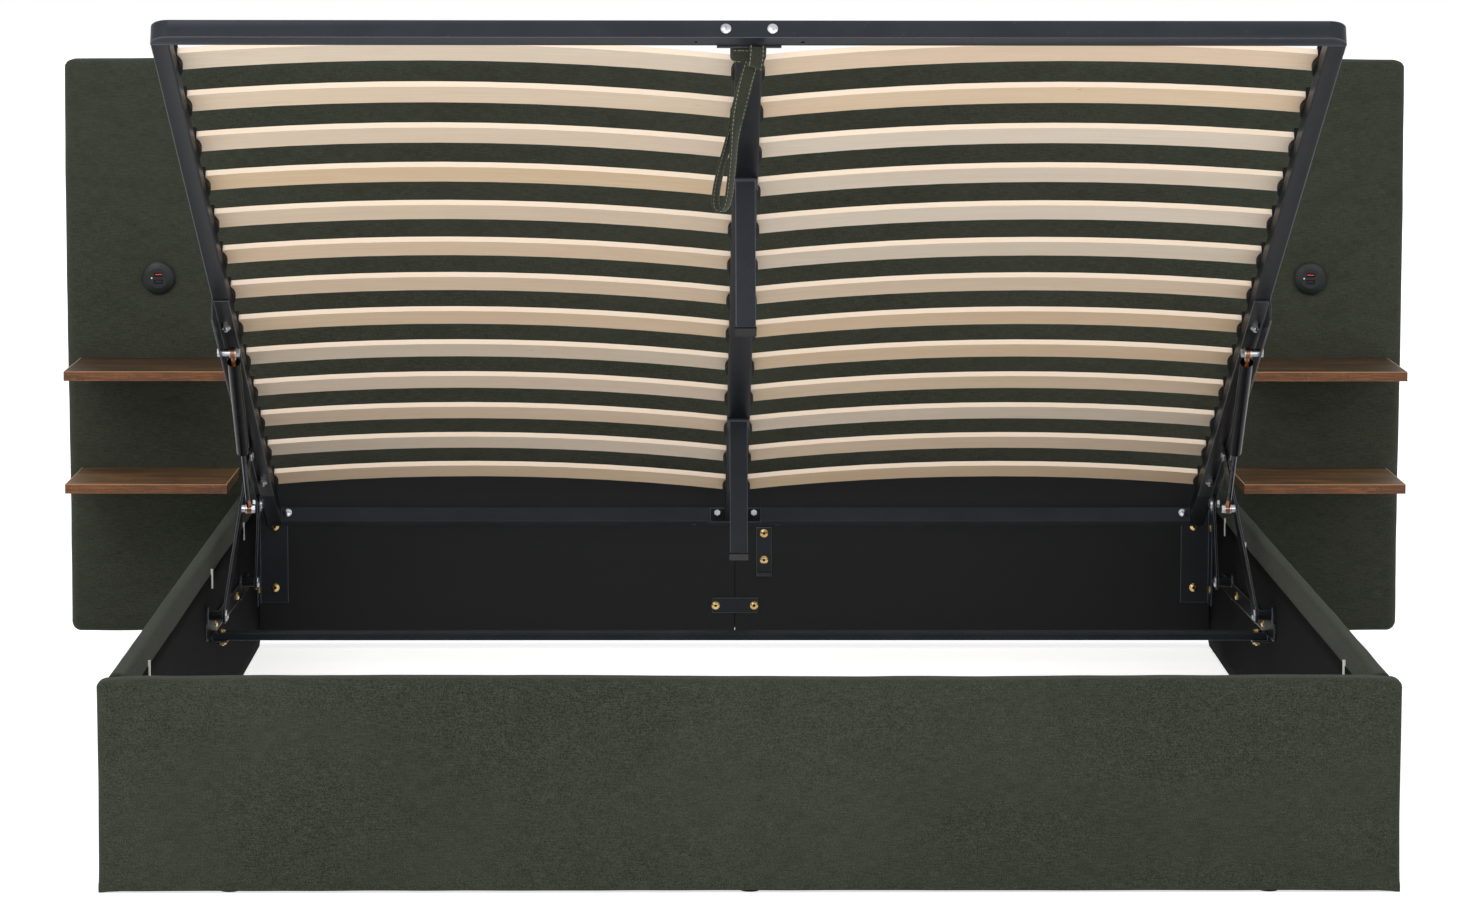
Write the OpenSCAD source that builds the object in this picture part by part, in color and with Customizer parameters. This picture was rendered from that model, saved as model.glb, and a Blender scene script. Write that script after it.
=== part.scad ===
// Upholstered storage bed with a lift-up slatted frame, drawn fully open.
// +Z is up, +Y points to the headboard, and left is the -X side, as seen from the foot.
// The origin is on the floor, under the middle of the whole bed.

/* [Base] */
// Width between the side panels' inner faces
inner_w = 1635; // [1435:5:1735]
// Length from the headboard's face to the foot panel's outer face
bed_l = 2100; // [2060:5:2200]
// Height of the side and foot panels' top edge above the floor
rail_top = 284; // [270:1:300]
// Height of the glides that the base stands on
glide_h = 2; // [2:1:12]
// Thickness of a side panel, covers included
side_t = 21; // [19:1:26]
// Thickness of the foot panel, cover included
foot_t = 45; // [38:1:60]
// How far the foot panel stands out past each side panel
foot_over = 12; // [5:1:25]
// Thickness of the fabric and foam round a side panel
side_pad = 3; // [2:0.5:4]
// Thickness of the fabric and foam round the foot panel
foot_pad = 7; // [5:0.5:8]
// Corner radius of the foot panel's cover
foot_r = 12; // [6:1:16]
// Thickness of the black cloth inside the base
lining_t = 1; // [0.8:0.1:2]
// Width of the covered edge that shows above the black cloth
lining_drop = 36; // [20:1:60]

/* [Headboard] */
// Width of the headboard
head_w = 2288; // [2200:2:2400]
// Height of the headboard's top edge above the floor
head_top = 1014; // [900:1:1200]
// Height of the headboard's bottom edge above the floor
head_bottom = 26; // [10:1:60]
// Thickness of the headboard, cover included
head_t = 60; // [50:1:90]
// Thickness of the foam and fabric on the headboard's face
head_pad = 10; // [6:1:16]
// Thickness of the fabric and foam round the headboard's edges
head_edge_pad = 10; // [8:1:12]
// Corner radius of the headboard's front edges
head_r = 17; // [10:1:24]
// Thickness of the cloth that closes the headboard's back
backing_t = 2; // [1:0.5:4]

/* [Head end panel] */
// Thickness of the panel that closes the base at the head end
end_t = 16; // [12:1:22]
// Height of its top edge above the floor
end_top = 298; // [285:1:320]
// Height of its bottom edge above the floor
end_bottom = 24; // [10:1:40]

/* [Shelves and sockets] */
// Width of a bedside shelf
shelf_w = 270; // [220:5:300]
// Depth of a bedside shelf
shelf_d = 235; // [180:5:280]
// Thickness of a bedside shelf
shelf_t = 16; // [14:1:25]
// Height of the upper shelves' top faces
shelf_high = 500; // [450:5:560]
// Height of the lower shelves' top faces
shelf_low = 311; // [280:1:380]
// Distance from the headboard's end to the shelves' outer ends
shelf_end = 24; // [10:1:30]
// Diameter of a hidden shelf rod
rod_d = 10; // [8:1:12]
// Height of the power sockets' centres
socket_z = 637; // [600:1:760]
// Diameter of a socket's outer ring
bezel_d = 56; // [50:1:70]
// Diameter of a socket's inner face
face_d = 34; // [32:1:40]

/* [Lift frame] */
// Side of the square frame tube
tube = 25; // [25:1:30]
// Wall of the frame tube
wall = 1.5; // [1:0.1:3]
// Gap between the frame and each side panel
frame_side_gap = 23.5; // [22:0.5:30]
// Gap between the closed frame and the headboard's face
frame_head_gap = 49; // [44:1:60]
// Gap between the closed frame and the foot panel
frame_foot_gap = 30; // [20:1:50]
// Height of the frame's underside when it is closed
frame_z = 240; // [236:1:250]
// Angle of the open frame
open_angle = 26.5; // [20:0.5:27]
// Width of the centre beam
beam_w = 36; // [30:1:50]
// Height of the centre beam, whose underside is level with the frame's
beam_h = 20; // [18:0.5:25]
// Side of a support leg's square tube
leg_w = 28; // [24:1:32]
// Distances of the support legs' centres from the frame's head end
leg_far = 1486; // [1400:1:1600]
leg_near = 506; // [440:1:600]

/* [Slats] */
// Number of slats in each column
slat_n = 13; // [9:1:15]
// Width of a slat
slat_w = 53; // [40:1:60]
// Thickness of a slat
slat_t = 8; // [6:1:10]
// Height of a slat's crown at mid length
slat_crown = 20; // [8:1:25]
// Distance of the last slat's centre from the frame's foot end
slat_foot = 152; // [130:1:180]
// Distance of the first slat's centre from the frame's head end
slat_head = 144; // [120:1:160]

/* [Lift mechanism] */
// Front link's base pin: distance from the headboard's face, and height
front_pin_d = 950; // [945:1:955]
front_pin_z = 196; // [194:1:200]
// Rear link's base pin: distance from the headboard's face, and height
rear_pin_d = 387; // [380:1:395]
rear_pin_z = 168; // [162:1:174]
// Front link's frame pin: distance from the frame's head end, and drop below it
front_eye_u = 394; // [388:1:400]
front_eye_drop = 16; // [16:0.5:18]
// Rear link's frame pin: distance from the frame's head end, and drop below it
rear_eye_u = 204; // [200:1:208]
rear_eye_drop = 31; // [30:0.5:34]
// Strut's frame pin: distance from the frame's head end, and drop below it
strut_eye_u = 874; // [860:1:885]
strut_eye_drop = 22; // [20:0.5:24]
// Strut's pin on the front link: distance from the frame pin, and offset from the link's middle
strut_foot_back = 192; // [180:1:200]
strut_foot_off = 10; // [6:0.5:12]
// Thickness of a link's flat bar
link_t = 4; // [3:0.5:4]
// Width of a link's flat bar
link_w = 25; // [20:1:25]
// Diameter of a pivot bolt
pin_d = 8; // [6:1:8]
// Diameter of the strut's cylinder
strut_d = 20; // [18:1:21]
// Length of the strut's cylinder
strut_l = 210; // [190:1:220]
// Diameter of the strut's rod
strut_rod_d = 8; // [6:1:10]

/* [Hidden] */
$fn = 48;

// Small gaps and margins
seat = 0.3;
run_gap = 0.5;
bore_gap = 0.05;
cut = 1;
waist = 0.05;

// Levels and faces of the base
y_face = (bed_l - head_t) / 2;
y_foot = y_face - bed_l;
y_foot_in = y_foot + foot_t;
x_in = inner_w / 2;
x_out = x_in + side_t;
x_lined = x_in - lining_t;
foot_w = 2 * (x_out + foot_over);
y_end = y_face - seat - end_t;
side_y0 = y_foot_in + seat;
side_y1 = y_face - seat;
lining_top = rail_top - lining_drop;

// White clips that hold the black cloth's top edge
clip_t = 2.2;
clip_w = 6;
clip_down = 22;
clip_up = 8;
clip_left_d = [0.413 * bed_l, 0.843 * bed_l];
clip_right_d = [0.265 * bed_l, 0.843 * bed_l];

// Bolts of the base
bolt_d = 6;
bolt_head_d = 14;
bolt_head_h = 4;
bolt_bore = bolt_d + 2 * bore_gap;
thread_end = 2;
rim_part = 0.4;
key_part = 0.6;
bracket_t = 2.5;
bracket_leg = 50;
bracket_z = [80, 240];
bracket_bolt_in = 28;
bracket_bolt_z = [106, 212];
base_t = 3;
base_bolts = [[270, 150], [470, 157], [840, 168]];
bolt_grip = 12;
foot_grip = 20;
centre_bracket_x = 50;
centre_bracket_z = [127, 210];
centre_bracket_w = 26;
centre_bracket_leg = 14;
centre_bolt_z = [154, 200];
joint_z = 75;
joint_w = 78;
joint_h = 26;
joint_bolt_x = 33;
joint_grip = 14;
end_split = 0.5;

// Floor glides: those under the foot panel stand at parts of its width
glide_end = 60;
glide_in = 3;
glide_part = 0.4;
foot_glide_d = 24;

// Cross bar
bar_d = 880;
bar_y = y_face - bar_d;
bar_w = 30;
bar_h = 12;
bar_z = 148.5;
bar_bolt_in = 16.5;
bar_bolt_x = x_lined - bar_bolt_in;
tab_d = 26;
tab_in = x_lined - tab_d;
tab_w = 36;
strip_front_d = 972;
strip_front_z = 172;
strip_back_d = 255;
strip_back_z = 150;
strip_front = [y_face - strip_front_d, strip_front_z];
strip_back = [y_face - strip_back_d, strip_back_z];
strip_r = 13;
ear_r = 12;
ear_drop = 18;

// Headboard's wooden frame: half of its middle stile, its inner and outer stiles, its rails
mid_stile = 70;
in_stile = [860, 945];
out_stile_w = 120;
out_stile = head_w / 2 - out_stile_w;
head_rail = 90;
head_skin = 12;

// Sockets and shelves
shelf_x = head_w / 2 - shelf_end - shelf_w / 2;
rod_x = 80;
rod_in_head = 30;
rod_in_shelf = 110;
socket_bore = 42;
socket_body_d = 38;
socket_depth = 36;
bezel_h = 4;
face_h = 2.8;
port_w = 14;
port_h = 6.5;
port_deep = 12;
port_z = 6;

// Planes of the mechanism, as distances from the bed's middle
frame_x = x_in - frame_side_gap;
tube_x = frame_x - tube;
rail_t = 2.5;
rail_out = 0.5;
rail_x = frame_x + rail_out - rail_t;
link_x = rail_x - run_gap - link_t;
head_x = link_x - seat;
strut_gap_x = 1.5;
strut_x = link_x - strut_gap_x - strut_d / 2;
base_x = x_lined - base_t;
pin_head_d = 18;
pin_head_h = 4.4;
nut_d = 14;
nut_h = 5;
plate_nut_d = 11;
eye_r = link_w / 2;
rear_eye_r = 15;
foot_eye_r = 9;
slot_r = 4.6;
slot_run = 7.5;
slot_angle = -35;
slot_pin_d = 6;
slot_washer_d = 26;
slot_washer_h = 1.4;
boss_d = 16;
rail_drop = 33;
rail_u = [160, 1036];
rail_l = rail_u[1] - rail_u[0];
rail_bolt_near = [235, 933];
rail_bolt_x = frame_x - tube / 2;
stud_d = 12;
eye_d = 16;
eye_t = 10;
eye_pin_d = 6;
strut_gap = 22;
neck_d = 9;
strut_wall = 1.5;
strut_end_t = 6;
guide_l = 10;
rod_in = 27;
piston_l = 12;

// Lift frame, measured along u from its head end and up along h from its underside
frame_l = bed_l - foot_t - frame_head_gap - frame_foot_gap;
corner_r = 24;
tube_r = 2;
plate_t = 3;
plate_drop = 2.5;
plate_w = 86;
beam_u = [tube + plate_t, frame_l - tube - plate_t];
plate_bolt_x = 31;
corner_bolt_in = 12;
corner_bolt_x = tube_x - corner_bolt_in;
corner_bolt_h = 15;
drain_x = 71;
drain_in = 9.5;
drain_d = 7;
leg_gap = 12.5;
leg_socket_h = 3;
leg_socket_t = 3.5;
cap_t = 3;
cap_over = 1;
plug_h = 15;
slat_pitch = (frame_l - slat_foot - slat_head) / (slat_n - 1);
slat_u = [for (i = [0 : slat_n - 1]) slat_head + i * slat_pitch];
// The rail's bolts stand in the gap between two slat holders that is nearest to their place
between_slats = 0.65;
function free_u(u) = slat_head + (floor((u - slat_head) / slat_pitch) + between_slats) * slat_pitch;
rail_bolt_u = [for (u = rail_bolt_near) free_u(u)];
pad_out = 6.7;
pad_mid = 2.7;
seat_out = tube + pad_out + seat;
seat_mid = beam_h + pad_mid + seat;
holder_over = 4.5;
holder_w = slat_w + 2 * holder_over;
holder_wall = 5.5;
pocket_spare = 3.5;
pocket_h = slat_t + pocket_spare;
holder_roof = 2.8;
holder_mid = 10;
lip_out = 5;
lip_h = 8;
lip_r = 64;
slat_x0 = holder_mid / 2 + run_gap;
slat_x1 = frame_x - holder_wall - run_gap;
slat_lean = atan2(seat_out - seat_mid, slat_x1 - slat_x0);
slat_chord = (slat_x1 - slat_x0) / cos(slat_lean);
slat_r = (slat_chord * slat_chord / 4 + slat_crown * slat_crown) / (2 * slat_crown);
strap_w = 22;
strap_t = 3;
collar_w = 32;
collar_in = 48;
strap_u = frame_l - collar_in;
strap_drop = 210;
strap_lean = 46;
strap_x = 6;
strap_open = 22;
strap_turn = 60;
strap_fork = 0.45;
strap_reach = strap_w / 2 * sin(strap_turn) * tan(open_angle) + strap_t / 2;

// Pivots as [y, z]: the base pins, and the frame pins when the frame is closed and level
front_pin = [y_face - front_pin_d, front_pin_z];
rear_pin = [y_face - rear_pin_d, rear_pin_z];
front_eye_closed = [y_face - frame_head_gap - front_eye_u, frame_z - front_eye_drop];
rear_eye_closed = [y_face - frame_head_gap - rear_eye_u, frame_z - rear_eye_drop];
front_link_l = norm(front_eye_closed - front_pin);
rear_link_l = norm(rear_eye_closed - rear_pin);

// The open frame: the two links hold the frame's pins where two circles cross
function turned(v, a) = [v[0] * cos(a) - v[1] * sin(a), v[0] * sin(a) + v[1] * cos(a)];
eye_gap = turned(rear_eye_closed - front_eye_closed, -open_angle);
eye_span = rear_pin - eye_gap - front_pin;
eye_run = (pow(front_link_l, 2) - pow(rear_link_l, 2) + pow(norm(eye_span), 2)) / (2 * norm(eye_span));
eye_rise = sqrt(pow(front_link_l, 2) - pow(eye_run, 2));
span_dir = eye_span / norm(eye_span);
front_eye = front_pin + eye_run * span_dir + eye_rise * [-span_dir[1], span_dir[0]];
rear_eye = front_eye + eye_gap;
frame_zero = front_eye - turned([-front_eye_u, -front_eye_drop], -open_angle);
link_dir = (front_eye - front_pin) / front_link_l;
strut_mid = front_eye - strut_foot_back * link_dir;
strut_foot = strut_mid + strut_foot_off * [-link_dir[1], link_dir[0]];
strut_eye = frame_zero + turned([-strut_eye_u, -strut_eye_drop], -open_angle);
strut_len = norm(strut_eye - strut_foot);
strut_tilt = atan2(strut_eye[1] - strut_foot[1], strut_foot[0] - strut_eye[0]);

// Placing helpers
module left() { mirror([1, 0, 0]) children(); }
module both() {
    children();
    left() children();
}
module on_frame() { translate([0, frame_zero[0], frame_zero[1]]) rotate([-open_angle, 0, 0]) children(); }
module at_u(u) { translate([0, -u, 0]) children(); }
module x_rod(x0, x1, y, z, d) { translate([x0, y, z]) rotate([0, 90, 0]) cylinder(h = x1 - x0, d = d); }
module y_rod(x, y0, y1, z, d) { translate([x, y0, z]) rotate([-90, 0, 0]) cylinder(h = y1 - y0, d = d); }
module x_box(x0, x1, y0, y1, z0, z1) { translate([x0, y0, z0]) cube([x1 - x0, y1 - y0, z1 - z0]); }

// A block with its front face towards -Y and its front edges and corner posts rounded with radius r
module padded_block(w, y0, y1, z0, z1, r) {
    x_box(-w / 2 + r, w / 2 - r, y0, y1, z0 + r, z1 - r);
    x_box(-w / 2, w / 2, y0 + r, y1, z0 + r, z1 - r);
    x_box(-w / 2 + r, w / 2 - r, y0 + r, y1, z0, z1);
    for (z = [z0 + r, z1 - r]) {
        x_rod(-w / 2 + r, w / 2 - r, y0 + r, z, 2 * r);
        for (x = [r - w / 2, w / 2 - r]) {
            y_rod(x, y0 + r, y1, z, 2 * r);
            translate([x, y0 + r, z]) sphere(r = r);
        }
    }
    for (x = [r - w / 2, w / 2 - r]) translate([x, y0 + r, z0 + r]) cylinder(h = z1 - z0 - 2 * r, r = r);
}

// A square tube's outline with small round corners
module round_rect(w, h, r) {
    translate([r, 0]) square([w - 2 * r, h]);
    translate([0, r]) square([w, h - 2 * r]);
    for (x = [r, w - r]) {
        for (y = [r, h - r]) translate([x, y]) circle(r = r);
    }
}
module tube_outline(w, h) {
    difference() {
        round_rect(w, h, tube_r);
        translate([wall, wall]) square([w - 2 * wall, h - 2 * wall]);
    }
}

// A domed screw along +X, with its head's seat at x = 0 and its shank towards +X
module dome_screw(shank_l, shank_d, head_d, head_h) {
    rim = head_h * rim_part;
    r = dome_r(head_d, head_h - rim);
    rotate([0, 90, 0]) cylinder(h = shank_l, d = shank_d);
    difference() {
        rotate([0, -90, 0]) rotate_extrude() {
            square([head_d / 2, rim]);
            intersection() {
                translate([0, head_h - r]) circle(r = r);
                square([head_d / 2, head_h]);
            }
        }
        translate([-head_h - cut, 0, 0]) rotate([0, 90, 0])
            cylinder(h = cut + head_h / 2, d = shank_d * key_part, $fn = 6);
    }
}
function dome_r(d, h) = (d * d / 4 + h * h) / (2 * h);
module hex_nut(x0, d, h) { translate([x0, 0, 0]) rotate([0, 90, 0]) cylinder(h = h, d = d, $fn = 6); }
module panel_screw(shank_l) { dome_screw(shank_l, bolt_d, bolt_head_d, bolt_head_h); }

// Places of the base's bolts: on the side panels as [y, z], on the end panels as [x, z]
side_points = concat(
    [for (z = bracket_bolt_z) [y_end - bracket_bolt_in, z]],
    [for (z = bracket_bolt_z) [y_foot_in + lining_t + bracket_bolt_in, z]]);
base_points = [for (p = base_bolts) [y_face - p[0], p[1]]];
end_points = [for (z = bracket_bolt_z) [x_lined - bracket_bolt_in, z]];
module side_bores() {
    for (p = concat(side_points, base_points)) {
        x_rod(x_lined - base_t - cut, x_lined + bolt_grip + cut, p[0], p[1], bolt_bore);
    }
}
module head_bores() {
    for (p = end_points) y_rod(p[0], y_end - bracket_t - cut, y_end + end_t + cut, p[1], bolt_bore);
}
module foot_bores() {
    for (p = end_points) {
        y_rod(p[0], y_foot_in - foot_grip - cut, y_foot_in + lining_t + bracket_t + cut, p[1], bolt_bore);
    }
}
module centre_bores() {
    for (z = centre_bolt_z) {
        y_rod(centre_bracket_x, y_end - bracket_t - cut, y_face + head_pad + bolt_grip + cut, z, bolt_bore);
    }
}

// Headboard
module socket_bores() {
    both() y_rod(shelf_x, y_face - cut, y_face + head_pad + socket_depth, socket_z, socket_bore);
}
module rod_bores(y0, y1) {
    both() {
        for (x = [-1, 1]) {
            for (z = [shelf_high, shelf_low]) {
                y_rod(shelf_x + x * rod_x, y0, y1, z - shelf_t / 2, rod_d + 2 * bore_gap);
            }
        }
    }
}
module headboard_space() {
    x = head_w / 2 - head_edge_pad;
    x_box(-x, x, y_face + head_pad, y_face + head_t - backing_t,
          head_bottom + head_edge_pad, head_top - head_edge_pad);
}
// The pockets between the headboard's stiles and rails, open to the back
module headboard_pockets() {
    both() {
        for (x = [[mid_stile, in_stile[0]], [in_stile[1], out_stile]]) {
            x_box(x[0], x[1], y_face + head_pad + head_skin, y_face + head_t,
                  head_bottom + head_rail, head_top - head_rail);
        }
    }
}
module headboard_core() {
    color("burlywood") difference() {
        headboard_space();
        headboard_pockets();
        socket_bores();
        rod_bores(y_face, y_face + head_pad + rod_in_head);
        centre_bores();
    }
}
module headboard_cover() {
    color("#33352D") difference() {
        padded_block(head_w, y_face, y_face + head_t, head_bottom, head_top, head_r);
        headboard_space();
        headboard_back_space();
        socket_bores();
        rod_bores(y_face - cut, y_face + head_pad + cut);
        centre_bores();
    }
}
module headboard_back_space() {
    rim = 2 * head_edge_pad;
    x = head_w / 2 - rim;
    y = y_face + head_t;
    x_box(-x, x, y - backing_t - cut / 2, y + cut, head_bottom + rim, head_top - rim);
}
module headboard_backing() {
    color("#1B1B1B") intersection() {
        headboard_back_space();
        x_box(-head_w, head_w, y_face + head_t - backing_t, y_face + head_t, 0, head_top);
    }
}

// Foot panel
module footboard_space() {
    x_box(-foot_w / 2 + foot_pad, foot_w / 2 - foot_pad, y_foot + foot_pad, y_foot_in - foot_pad,
          glide_h + foot_pad, rail_top - foot_pad);
}
module footboard_core() {
    color("burlywood") difference() {
        footboard_space();
        both() foot_bores();
    }
}
module footboard_cover() {
    color("#40453A") difference() {
        padded_block(foot_w, y_foot, y_foot_in, glide_h, rail_top, foot_r);
        footboard_space();
        both() foot_bores();
    }
}
module footboard_lining() {
    color("#1E1E1E") difference() {
        x_box(-x_lined + seat, x_lined - seat, y_foot_in, y_foot_in + lining_t,
              glide_h + foot_pad, lining_top);
        both() foot_bores();
    }
}

// Side panels
module side_space(over) {
    x_box(x_in + side_pad, x_out - side_pad, side_y0 - over, side_y1 + over,
          glide_h + side_pad, rail_top - side_pad);
}
module side_core() {
    color("burlywood") difference() {
        side_space(0);
        side_bores();
    }
}
module side_cover() {
    color("#3E4337") difference() {
        translate([x_in, side_y1, glide_h]) rotate([90, 0, 0])
            linear_extrude(side_y1 - side_y0) side_outline();
        side_space(cut);
        side_bores();
    }
}
module side_outline() {
    top_r = side_t / 3;
    h = rail_top - glide_h;
    square([side_t, h - top_r]);
    translate([top_r, h - top_r]) circle(r = top_r);
    translate([side_t - top_r, h - top_r]) circle(r = top_r);
    translate([top_r, h - top_r]) square([side_t - 2 * top_r, top_r]);
}
module side_lining() {
    color("#1E1E1E") difference() {
        x_box(x_lined, x_in, y_foot_in + lining_t + seat, y_end - seat, glide_h + side_pad, lining_top);
        side_bores();
    }
}
module lining_clip(y) {
    y0 = y - clip_w / 2;
    y1 = y + clip_w / 2;
    x_box(x_lined - clip_t, x_lined, y0, y1, lining_top - clip_down, lining_top + clip_up);
    x_box(x_lined, x_in, y0, y1, lining_top, lining_top + clip_up);
}
module lining_clips() {
    color("#D9D9D2") {
        for (d = clip_left_d) mirror([1, 0, 0]) lining_clip(y_face - d);
        for (d = clip_right_d) lining_clip(y_face - d);
    }
}

// Head end panel, its joint plate and brackets
module head_end_panel() {
    color("#1C1D1F") difference() {
        x_box(end_split, x_lined - seat, y_end, y_end + end_t, end_bottom, end_top);
        head_bores();
        joint_bores();
    }
}
module head_end_panel_right() {
    color("#1C1D1F") difference() {
        head_end_panel();
        centre_bores();
    }
}
module joint_bores() {
    both() y_rod(joint_bolt_x, y_end - bracket_t - cut, y_end + joint_grip, joint_z, bolt_bore);
}
module panel_joint_plate() {
    color("#26272B") difference() {
        x_box(-joint_w / 2, joint_w / 2, y_end - bracket_t, y_end,
              joint_z - joint_h / 2, joint_z + joint_h / 2);
        joint_bores();
    }
}
module centre_bracket() {
    x0 = centre_bracket_x - centre_bracket_w / 2;
    x1 = centre_bracket_x + centre_bracket_w / 2;
    z = centre_bracket_z;
    color("#26272B") difference() {
        union() {
            x_box(x0, x1, y_end - bracket_t, y_end, z[0], z[1]);
            x_box(x0, x1, y_end - centre_bracket_leg, y_end, z[0], z[0] + bracket_t);
        }
        centre_bores();
    }
}
module corner_bracket() {
    x_box(x_lined - bracket_leg, x_lined, y_end - bracket_t, y_end, bracket_z[0], bracket_z[1]);
    x_box(x_lined - bracket_t, x_lined, y_end - bracket_leg, y_end, bracket_z[0], bracket_z[1]);
}
module foot_bracket() {
    y0 = y_foot_in + lining_t;
    x_box(x_lined - bracket_leg, x_lined, y0, y0 + bracket_t, bracket_z[0], bracket_z[1]);
    x_box(x_lined - bracket_t, x_lined, y0, y0 + bracket_leg, bracket_z[0], bracket_z[1]);
}
module corner_brackets() {
    color("#26272B") both() difference() {
        union() {
            corner_bracket();
            foot_bracket();
        }
        head_bores();
        foot_bores();
        side_bores();
    }
}

// Cross bar and the mechanism's base plates
module bar_bolt_bore(z0, z1) {
    translate([bar_bolt_x, bar_y, z0]) cylinder(h = z1 - z0, d = bolt_bore);
}
module cross_bar() {
    l = 2 * (base_x - run_gap);
    color("#2A2C31") difference() {
        translate([-l / 2, bar_y - bar_w / 2, bar_z]) rotate([90, 0, 90])
            linear_extrude(l) tube_outline(bar_w, bar_h);
        both() bar_bolt_bore(bar_z - cut, bar_z + bar_h + cut);
    }
}
// A flat bar's outline with round ends, a hair narrower between them, and a plate cut to an outline
module bar_outline(a, b, r) {
    w = r - waist;
    translate(a) circle(r = r);
    translate(b) circle(r = r);
    translate(a) rotate(atan2(b[1] - a[1], b[0] - a[0])) translate([0, -w]) square([norm(b - a), 2 * w]);
}
module flat_plate(x0, t) { translate([x0, 0, 0]) rotate([90, 0, 90]) linear_extrude(t) children(); }
module mechanism_base() {
    color("#26272B") difference() {
        union() {
            flat_plate(base_x, base_t) {
                bar_outline(strip_front, strip_back, strip_r);
                for (p = [front_pin, rear_pin]) bar_outline(p, [p[0], p[1] - ear_drop], ear_r);
                translate([bar_y - tab_w / 2, bar_z - base_t]) square([tab_w, strip_front[1] - bar_z]);
            }
            for (p = [front_pin, rear_pin]) x_rod(rail_x, base_x + base_t / 2, p[0], p[1], boss_d);
            x_box(tab_in, base_x + base_t / 2, bar_y - tab_w / 2, bar_y + tab_w / 2, bar_z - base_t, bar_z);
        }
        x_rod(rail_x - cut, x_lined + cut, front_pin[0], front_pin[1], pin_d + 2 * bore_gap);
        x_rod(rail_x - cut, x_lined + cut, rear_pin[0], rear_pin[1], pin_d + 2 * bore_gap);
        side_bores();
        bar_bolt_bore(bar_z - base_t - cut, bar_z + cut);
    }
}
module base_pivot_bolts() {
    color("silver") both() {
        for (p = [front_pin, rear_pin]) {
            translate([head_x, p[0], p[1]]) dome_screw(x_lined - head_x, pin_d, pin_head_d, pin_head_h);
        }
    }
}
module panel_bolts() {
    color("goldenrod") {
        both() {
            for (p = side_points) {
                translate([x_lined - bracket_t, p[0], p[1]]) panel_screw(bracket_t + bolt_grip);
            }
            for (p = base_points) {
                translate([base_x, p[0], p[1]]) panel_screw(base_t + bolt_grip);
            }
            for (p = end_points) {
                translate([p[0], y_end - bracket_t, p[1]]) rotate([0, 0, 90]) panel_screw(bracket_t + end_t);
                translate([p[0], y_foot_in + lining_t + bracket_t, p[1]]) rotate([0, 0, -90])
                    panel_screw(lining_t + bracket_t + foot_grip);
            }
            translate([joint_bolt_x, y_end - bracket_t, joint_z]) rotate([0, 0, 90])
                panel_screw(bracket_t + joint_grip);
            translate([bar_bolt_x, bar_y, bar_z + bar_h]) rotate([0, 90, 0])
                panel_screw(bar_h + base_t + nut_h + thread_end);
            translate([bar_bolt_x, bar_y, bar_z - base_t]) rotate([0, 90, 0]) hex_nut(0, nut_d, nut_h);
        }
        for (z = centre_bolt_z) {
            translate([centre_bracket_x, y_end - bracket_t, z]) rotate([0, 0, 90])
                panel_screw(bracket_t + end_t + seat + head_pad + bolt_grip);
        }
    }
}
module floor_glides() {
    color("#202020") {
        both() {
            for (y = [y_foot_in + glide_end, (y_foot_in + y_face) / 2, y_face - glide_end]) {
                translate([x_in + side_t / 2, y, 0]) cylinder(h = glide_h, d = side_t - glide_in);
            }
        }
        for (x = [-glide_part, 0, glide_part]) {
            translate([x * foot_w, y_foot + foot_t / 2, 0]) cylinder(h = glide_h, d = foot_glide_d);
        }
    }
}

// Shelves, their hidden rods, and the power sockets
module shelf(top) {
    color("#5A3C28") difference() {
        x_box(shelf_x - shelf_w / 2, shelf_x + shelf_w / 2, y_face - seat - shelf_d, y_face - seat,
              top - shelf_t, top);
        for (x = [shelf_x - rod_x, shelf_x + rod_x]) {
            y_rod(x, y_face - rod_in_shelf, y_face + cut, top - shelf_t / 2, rod_d + 2 * bore_gap);
        }
    }
}
module shelf_rods() {
    y0 = y_face - rod_in_shelf + seat;
    y1 = y_face + head_pad + rod_in_head - seat;
    color("silver") both() {
        for (x = [shelf_x - rod_x, shelf_x + rod_x]) {
            for (z = [shelf_high, shelf_low]) y_rod(x, y0, y1, z - shelf_t / 2, rod_d);
        }
    }
}
module socket_bezel() {
    r = dome_r(bezel_d, bezel_h);
    color("#2B2D2E") translate([shelf_x, y_face, socket_z]) rotate([90, 0, 0]) rotate_extrude() difference() {
        intersection() {
            translate([0, bezel_h - r]) circle(r = r, $fn = 180);
            square([bezel_d / 2, bezel_h]);
        }
        square([face_d / 2, 3 * bezel_h]);
    }
}
module port_slot(z) {
    translate([shelf_x - port_w / 2, y_face - bezel_h, socket_z + z - port_h / 2])
        cube([port_w, port_deep, port_h]);
}
module socket() {
    color("#38383C") difference() {
        union() {
            y_rod(shelf_x, y_face - face_h, y_face + seat, socket_z, face_d - 2 * bore_gap);
            y_rod(shelf_x, y_face, y_face + head_pad + socket_depth - seat, socket_z, socket_body_d);
        }
        port_slot(port_z);
        port_slot(-port_z);
    }
}

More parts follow.
